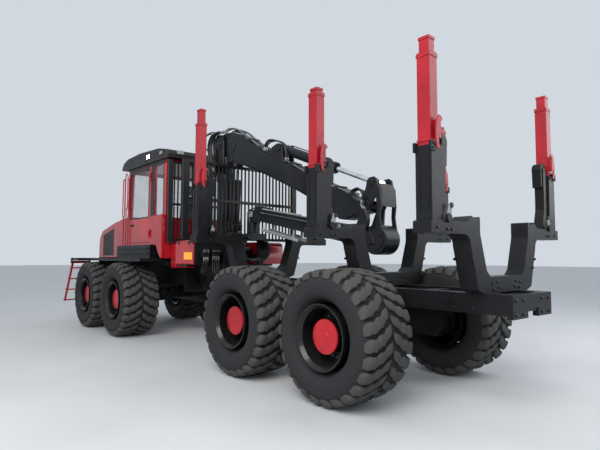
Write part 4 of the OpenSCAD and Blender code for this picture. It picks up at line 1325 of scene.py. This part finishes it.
@dataclass
class Cab:
    """Column, guard posts, seals, lamps, rails and the padded seat."""

    finishes: Finishes
    seal_in: float = 0.849
    seal_out: float = 0.854
    column_in: float = 0.8508
    column_out: float = 0.940
    lamp_face: float = 0.893
    rail_y: float = 0.905
    rail_radius: float = 0.011
    deck_top: float = 1.862

    def column(self) -> None:
        """Red boxes behind the cab and the column whose front edge leans back going down."""
        mesh = Mesh()
        outline = [(4.175, 1.592), (4.225, 1.582), (4.340, 1.702), (4.640, 2.150), (4.700, 2.290),
                   (4.700, 2.430), (4.680, 2.450), (4.200, 2.450), (4.175, 2.300)]
        foot = [(4.175, 1.592), (4.225, 1.582), (4.340, 1.702), (4.444, 1.858), (4.175, 1.858)]
        for s in SIDES:
            flank(mesh, s, outline, self.column_in, self.column_out, 0.012)
            flank(mesh, s, foot, 0.700, 0.8515, 0.004)
            flank(mesh, s, rect(3.960, 4.165, 1.400, 1.858), 0.330, 0.738, 0.010)
        prism(mesh, rect(3.962, 4.163, 1.602, 1.860), Along.Y, -0.740, 0.740, 0.010)
        piece = mesh.build("rear_tank_dressed", self.finishes.red, "front_unit", Slot.RED)
        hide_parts("rear_tank")

    def trim(self) -> None:
        """Guard posts, window seals, black bands and the door's handle."""
        black = Mesh()
        for s in SIDES:
            low, high = (0.745, 0.850) if s > 0 else (-0.800, -0.770)
            prism(black, rect(4.104, 4.152, 1.900, 3.555), Along.Y, low, high, 0.006)
            for z in (2.000, 3.420):
                flank(black, s, rect(4.150, 4.202, z, z + 0.05), 0.745, 0.800, 0.004)
            for strip in border((4.308, 4.742, 2.438, 3.512), (4.330, 4.720, 2.460, 3.490)):
                flank(black, s, strip, self.seal_in, self.seal_out, 0.002)
        for band in ((4.205, 6.080, 3.518, 3.580), (4.205, 4.905, 3.490, 3.520),
                     (4.742, 4.905, 2.440, 3.491)):
            for s in SIDES:
                flank(black, s, rect(*band), self.seal_in, self.seal_out + 0.0005, 0.002)
        black.build("cab_seals", self.finishes.plastic, "front_unit", Slot.PLASTIC)
        door = Mesh()
        for strip in border((4.996, 6.004, 2.438, 3.506), (5.018, 5.942, 2.460, 3.440)):
            prism(door, strip, Along.Y, self.seal_in, self.seal_out + 0.001, 0.002)
        prism(door, [(5.80, 2.28), (5.94, 2.28), (5.95, 2.30), (5.94, 2.33), (5.80, 2.33), (5.79, 2.30)],
              Along.Y, self.seal_in + 0.001, self.seal_in + 0.023, 0.005)
        door.build("door_seals_and_handle", self.finishes.plastic, "door", Slot.PLASTIC)

    def lamps(self) -> None:
        """The roof's lit lamp, the lenses' rims and the amber reflectors."""
        lit, rims, amber = Mesh(), Mesh(), Mesh()
        lens = rect(4.912, 5.048, 3.682, 3.748)
        prism(lit, lens, Along.Y, self.lamp_face + 0.003, self.lamp_face + 0.009, 0.003)
        for s in SIDES:
            for x0, x1 in ((4.90, 5.06), (4.30, 4.46)):
                for strip in border((x0, x1, 3.670, 3.760), (x0 + 0.010, x1 - 0.010, 3.680, 3.750)):
                    flank(rims, s, strip, self.lamp_face, self.lamp_face + 0.011, 0.002)
            # amber reflectors whose finish glows on its own: painted glow
            prism(amber, pair(rect(0.360, 0.580, 1.560, 1.705), s), Along.X, 3.950, 3.962, 0.005)
        lit.build("lit_roof_lamp", self.finishes.lit, "front_unit", Slot.LAMP)
        rims.build("lamp_rims", self.finishes.plastic, "front_unit", Slot.PLASTIC)
        amber.build("amber_reflectors_painted_glow", self.finishes.amber, "front_unit", Slot.LAMP)

    def rails(self) -> None:
        """Grab hoops at the cab's front corners."""
        mesh = Mesh()
        for s in SIDES:
            y = s * self.rail_y
            loop = at(*[(x, y, z) for x, z in ((6.03, 3.30), (6.03, 3.43), (6.09, 3.485), (6.15, 3.43),
                                               (6.15, 2.76), (6.09, 2.68), (6.03, 2.76), (6.03, 3.30))])
            sweep(mesh, smooth_path(loop, 5), self.rail_radius, 12)
            rod(mesh, (6.09, y, 2.69), (6.09, y, self.deck_top), self.rail_radius + 0.001)
        mesh.build("grab_rails", self.finishes.red, "front_unit", Slot.RED)

    def cushion(self, name: str, centre: Point, half: Point, lean: float = 0.0,
                channels: int = 0) -> bpy.types.Object:
        """A crowned cushion: a superellipsoid whose sides pull in and whose face has sewn channels.

        x = a c(u) c(v), y = b s(u) c(v), z = h s(v), with c and s signed powers of cosine and sine.

        Args:
            name: The piece's name.
            centre: Its middle, from the rear bogies' middle.
            half: Half its size along X, Y and Z.
            lean: Its turn about Y in degrees.
            channels: Number of sewn channels across Y.
        Returns:
            The cushion.
        """
        power, sides = 0.38, 96
        u = angles(sides)
        v = np.linspace(-math.pi / 2, math.pi / 2, 41)[1:-1]
        cu, su, cv, sv = (signed_power(f(a), power) for a in (u, v) for f in (np.cos, np.sin))
        x = cv[:, None] * cu[None]
        y = cv[:, None] * su[None]
        z = sv[:, None] + 0 * cu[None]
        pull = 1.0 - 0.035 * (1 - z ** 2) - 0.03 * (1 - np.minimum(np.abs(x), 1) ** 2) * (np.abs(y) > 0.9)
        z = z * (1 - 0.16 * np.clip(x ** 2 + y ** 2, 0, 1))
        if channels:
            stitch = np.cos(math.pi * channels * y) ** 24
            z = z - 0.10 * stitch * np.sign(z) * (np.abs(z) > 0.5)
        points = np.stack([half[0] * x * pull, half[1] * y * pull, half[2] * z], -1).reshape(-1, 3)
        ends = np.array([[0, 0, -half[2]], [0, 0, half[2]]])
        points = np.concatenate([points, ends])
        c, s = math.cos(math.radians(lean)), math.sin(math.radians(lean))
        turn = np.array([[c, 0, s], [0, 1, 0], [-s, 0, c]])
        mesh = Mesh()
        mesh.add(points @ turn.T + at(centre)[0], grid_faces(len(v), sides),
                 end_fans(sides, sides * len(v)))
        piece = mesh.build(name, self.finishes.seat, "front_unit", Slot.SEAT, 80.0)
        return piece

    def seat(self) -> None:
        """The driver's seat: cushion, back, head rest and arm pads on a rigid stand."""
        base = self.cushion("seat_cushion", (5.110, 0, 2.200), (0.285, 0.270, 0.072), -4.0, 3)
        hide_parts("seat")
        self.cushion("seat_back", (4.750, 0, 2.560), (0.070, 0.255, 0.370), -8.0)
        self.cushion("seat_head_rest", (4.695, 0, 3.040), (0.048, 0.130, 0.105), -4.0)
        for s in SIDES:
            self.cushion("arm_pad_" + ("left" if s > 0 else "right"), (5.160, s * 0.365, 2.445),
                         (0.300, 0.062, 0.036))
        stand = Mesh()
        prism(stand, [(4.920, 1.912), (5.380, 1.912), (5.360, 2.125), (4.900, 2.125)],
              Along.Y, -0.230, 0.230, 0.02)
        for s in SIDES:
            flank(stand, s, [(4.860, 2.150), (4.940, 2.150), (4.960, 2.415), (4.900, 2.415)],
                  0.300, 0.345, 0.006)
            flank(stand, s, [(5.360, 2.460), (5.430, 2.460), (5.440, 2.560), (5.380, 2.570)],
                  0.345, 0.385, 0.010)
        stand.build("seat_stand", self.finishes.plastic, "front_unit", Slot.PLASTIC)

    def build(self) -> None:
        """Builds every fitting of the cab."""
        self.column()
        self.trim()
        self.lamps()
        self.rails()
        self.seat()


@dataclass
class Wheel:
    """One wheel: its tyre with lugs, its red hub cover and its nuts."""

    name: str
    finishes: Finishes
    radius: float = 0.75
    width: float = 0.75
    bead: float = 0.345
    wall_radius: float = 0.53
    tread_power: float = 3.4
    wall_power: float = 2.3
    carcass: float = 0.712
    lugs: int = 26
    lug_width: float = 0.132
    lug_lean: float = 0.25
    lean_reach: float = 0.22
    notches: tuple[float, float] = (0.36, 0.66)
    rings: tuple[float, float] = (0.605, 0.425)
    rib_radius: float = 0.672
    hub_radius: float = 0.192
    hub_depth: float = 0.115
    nuts: int = 20
    seed: int = 0

    def __post_init__(self) -> None:
        """Finds the wheel's middle and its side."""
        low, high = corners("tyre_" + self.name)
        self.centre = (low + high) / 2
        self.half = self.width / 2 - 0.002
        self.side = (Side.LEFT if self.centre[1] > 0 else Side.RIGHT).value
        self.body = "wheel_" + self.name
        self.random = np.random.default_rng(100 + self.seed)

    def section(self, y: np.ndarray) -> np.ndarray:
        """The carcass's outer half, a superellipse: r = middle + height (1 - |y / half|^power)^(1 / power).

        Args:
            y: Distances from the wheel's middle plane.
        Returns:
            The radius at each.
        """
        middle, power = self.wall_radius, self.tread_power
        share = np.clip(np.abs(y) / self.half, 0, 1)
        return middle + (self.carcass - middle) * (1 - share ** power) ** (1 / power)

    def place(self, angle: np.ndarray, radius: np.ndarray, y: np.ndarray) -> np.ndarray:
        """Points of the wheel from an angle round its axle, a radius and a distance outwards."""
        return np.stack([self.centre[0] + radius * np.cos(angle), self.centre[1] + self.side * y,
                         self.centre[2] + radius * np.sin(angle)], -1)

    def add_carcass(self, mesh: Mesh) -> None:
        """The carcass: the section's superellipse, outer and inner half, turned round the axle.

        Args:
            mesh: The mesh that gets it.
        """
        half, middle = self.half, self.wall_radius
        t = np.linspace(0, math.pi, 33)
        y_out = half * signed_power(np.cos(t), 2 / self.tread_power)
        r_out = middle + (self.carcass - middle) * np.sin(t) ** (2 / self.tread_power)
        s = np.linspace(math.pi, TURN, 17)
        y_in = half * signed_power(np.cos(s), 2 / self.wall_power)
        r_in = middle + (middle - self.bead) * -np.abs(np.sin(s)) ** (2 / self.wall_power)
        y = np.concatenate([y_out, y_in[1:-1]])
        r = np.concatenate([r_out, r_in[1:-1]])
        wall = np.abs(y) > half * 0.72
        # two raised rings on the wall, near the tread and near the rim
        outer, inner = self.rings
        ring = np.exp(-((r - outer) / 0.008) ** 2) + 0.8 * np.exp(-((r - inner) / 0.010) ** 2)
        r = r + np.where(wall, 0.004 * ring, 0.0)
        sides = 8 * self.lugs
        a = angles(sides)
        # ribs that run on from the lugs down the wall
        window = np.exp(-((r - self.rib_radius) / 0.030) ** 2) * wall
        ridge = np.clip(1.6 * np.cos(self.lugs * (a - self.lug_lean / self.radius)), 0.0, 1.0)
        bulge = 0.007 * np.sign(y)[:, None] * window[:, None] * ridge[None]
        points = self.place(a[None, :], r[:, None] + 0 * a[None], y[:, None] + bulge)
        tread = np.clip((r - 0.655) / 0.03, 0, 1)[:, None] + 0 * a[None]
        verts = points.reshape(-1, 3)
        rows = len(r)
        quads = grid_faces(rows, sides)
        # the last ring joins the first
        here, end = np.arange(sides), (rows - 1) * sides
        after = (here + 1) % sides
        last = np.stack([here + end, after + end, after, here], -1)
        mesh.add(verts, np.concatenate([quads, last])[:, ::-self.side], height=np.zeros(len(verts)),
                 tread=tread.reshape(-1))

    def add_lugs(self, mesh: Mesh) -> None:
        """Two rows of leaning lugs that meet in a chevron.

        A lug's middle line runs from y = 0.004 beside the crown to the shoulder, and leans round the tyre by
        lean (1 - exp(-y / reach)) and a small wave; its section is a flat loop that stands on the carcass,
        notched twice.

        Args:
            mesh: The mesh that gets them.
        """
        along, loop = 27, 12
        t = np.linspace(0, 1, along)
        y_line = 0.004 + 0.358 * t
        lean = self.lug_lean * (1 - np.exp(-y_line / self.lean_reach)) + 0.010 * np.sin(3.2 * TURN * t)
        notch = sum(np.exp(-((t - place) / 0.022) ** 2) for place in self.notches)
        half = 0.5 * self.lug_width * (0.82 + 0.22 * t) * (1 - 0.10 * notch)
        end = np.clip(np.minimum(t, 1 - t) / 0.09, 0.0, 1.0) ** 0.5
        q = angles(loop)
        across, rise = signed_power(np.cos(q), 0.45), signed_power(np.sin(q), 0.45)
        pitch = TURN / self.lugs
        base = self.section(y_line)
        limit = self.radius - 0.0015 - 0.020 * np.clip((y_line - 0.15) / 0.21, 0, 1) ** 2.2
        for row in (1, -1):
            start = (np.arange(self.lugs) + (0.5 if row < 0 else 0.0)) * pitch
            worn = self.random.uniform(-0.005, 0.0, (self.lugs, 1))
            chip = self.random.uniform(-0.004, 0.0, (self.lugs, along))
            top = np.maximum(limit + worn + chip, base + 0.012)
            fall = np.clip((t - 0.84) / 0.16, 0, 1) ** 2 * 0.026
            top = np.minimum(top, limit) - fall - 0.009 * notch
            low = base - 0.02
            middle = (top + low) / 2
            reach = (top - low) / 2 * end
            r = middle[:, :, None] + reach[:, :, None] * rise[None, None, :]
            taper = half * (0.55 + 0.45 * end)
            flare = 1.0 + 0.18 * (rise < 0)
            arc = (lean[:, None] + taper[:, None] * across[None, :] * flare[None, :]) / self.radius
            angle = start[:, None, None] + arc[None]
            y = row * (y_line[None, :, None] + 0 * angle)
            points = self.place(angle, r, y)
            verts = points.reshape(-1, 3)
            per = along * loop
            caps = self.place(start[:, None] + lean[[0, -1]][None] / self.radius, middle[:, [0, -1]],
                              row * (y_line[[0, -1]][None] + 0 * start[:, None])).reshape(-1, 3)
            every = np.concatenate([verts.reshape(self.lugs, per, 3), caps.reshape(self.lugs, 2, 3)], 1)
            flip = row * self.side
            high = np.concatenate([np.clip((r - base[None, :, None]) / 0.028, 0, 1).reshape(self.lugs, per),
                                   np.zeros((self.lugs, 2))], 1)
            mesh.add(every.reshape(-1, 3),
                     copies(grid_faces(along, loop), self.lugs, per + 2)[:, ::flip],
                     copies(end_fans(loop, per), self.lugs, per + 2)[:, ::flip],
                     height=high.reshape(-1), tread=np.ones(self.lugs * (per + 2)))

    def add_hub(self) -> None:
        """The thin red disc on the black hub, and the nuts on the rim's web."""
        axis = np.array([0.0, self.side, 0.0])
        face = self.centre + axis * (self.width / 2 - self.hub_depth)
        cover = Mesh()
        r = self.hub_radius
        revolve(cover, np.array([
            [0, 0.016], [0.052, 0.016], [0.056, 0.012], [r - 0.010, 0.012], [r - 0.003, 0.009], [r, 0.003],
            [r, -0.010], [0, -0.010]]), face, axis, 64)
        cover.build(f"hub_cover_{self.name}", self.finishes.hub, self.body, Slot.RED)
        fixings = Mesh()
        web = self.centre + axis * (self.width / 2 - 0.338)
        bolts(fixings, circle(web, 0.245, self.nuts, (0, 2)), axis, 0.019, 0.030)
        fixings.build(f"hub_fixings_{self.name}", self.finishes.zinc, self.body, Slot.RIM)

    def build(self) -> None:
        """Builds the tyre and the hub."""
        mesh = Mesh()
        self.add_carcass(mesh)
        self.add_lugs(mesh)
        tyre = mesh.build(f"lugged_tyre_{self.name}", self.finishes.tyre, self.body, Slot.TYRE, 50.0)
        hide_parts("tyre_" + self.name)
        self.add_hub()


@dataclass
class Stage:
    """Pale floor, soft light and the camera at the photograph's place."""

    eye: Point = (-7.808, 5.106, 1.616)
    yaw: float = -41.161
    pitch: float = 3.805
    roll: float = 0.167
    lens: float = 28.94
    sensor: float = 36.0

    def camera(self) -> None:
        """The camera at the photograph's place."""
        data = bpy.data.cameras.new("camera")
        data.lens = self.lens
        data.sensor_width = self.sensor
        data.clip_end = 200.0
        camera = add_object("camera", data)
        yaw, pitch = math.radians(self.yaw), math.radians(self.pitch)
        way = Vector((math.cos(yaw) * math.cos(pitch), math.sin(yaw) * math.cos(pitch), math.sin(pitch)))
        turn = way.to_track_quat("-Z", "Y")
        camera.rotation_mode = "QUATERNION"
        camera.rotation_quaternion = turn @ Quaternion((0, 0, 1), math.radians(self.roll))
        camera.location = self.eye
        bpy.context.scene.camera = camera

    def floor(self) -> None:
        """A pale floor, just under the tyres."""
        n = Nodes("pale floor")
        patch = n.noise(0.6, 4.0)
        n.surface(Base_Color=n.mix(n.ramp(patch, 0.3, 0.7), (0.50, 0.51, 0.52), (0.55, 0.56, 0.57)),
                  Roughness=n.ramp(patch, 0.3, 0.7, 0.55, 0.75))
        mesh = bpy.data.meshes.new("floor")
        reach = 90.0
        mesh.from_pydata([(x, y, 0) for x, y in rect(-reach, reach, -reach, reach)], [], [(0, 1, 2, 3)])
        mesh.materials.append(n.material)
        floor = add_object("floor", mesh)
        floor.location.z = -0.001

    def light(self) -> None:
        """An overcast sky and two wide soft lamps."""
        world = bpy.data.worlds.new("soft sky")
        world.use_nodes = True
        back = world.node_tree.nodes["Background"]
        back.inputs[0].default_value = (0.80, 0.86, 0.93, 1.0)
        back.inputs[1].default_value = 0.80
        bpy.context.scene.world = world
        for name, spot, size, power, colour in (
                ("key", (-7.0, 9.0, 9.0), 8.0, 1500.0, (1.0, 0.98, 0.95)),
                ("fill", (-9.0, -7.0, 6.0), 7.0, 450.0, (0.95, 0.97, 1.0))):
            data = bpy.data.lights.new(name, "AREA")
            data.size = size
            data.energy = power
            data.color = colour
            lamp = add_object(name, data)
            lamp.location = spot
            lamp.rotation_mode = "QUATERNION"
            lamp.rotation_quaternion = (Vector((0, 0, 1.2)) - Vector(spot)).to_track_quat("-Z", "Y")

    def build(self) -> None:
        """Builds the whole stage."""
        self.camera()
        self.floor()
        self.light()
        bpy.context.scene.view_settings.view_transform = "Standard"


def main() -> None:
    """Builds every piece in order."""
    logging.basicConfig(level=logging.INFO, format="%(message)s")
    Stage().build()
    finishes = Finishes()
    finishes.dress_nodes()
    names = [f"{axle}_{side}" for side in ("left", "right") for axle in (1, 2, 3, 4)]
    for seed, name in enumerate(names):
        Wheel(name, finishes, seed=seed).build()
    Crane(finishes).build()
    Bunk(finishes).build()
    RearUnit(finishes).build()
    Cab(finishes).build()


if __name__ == "__main__":
    main()
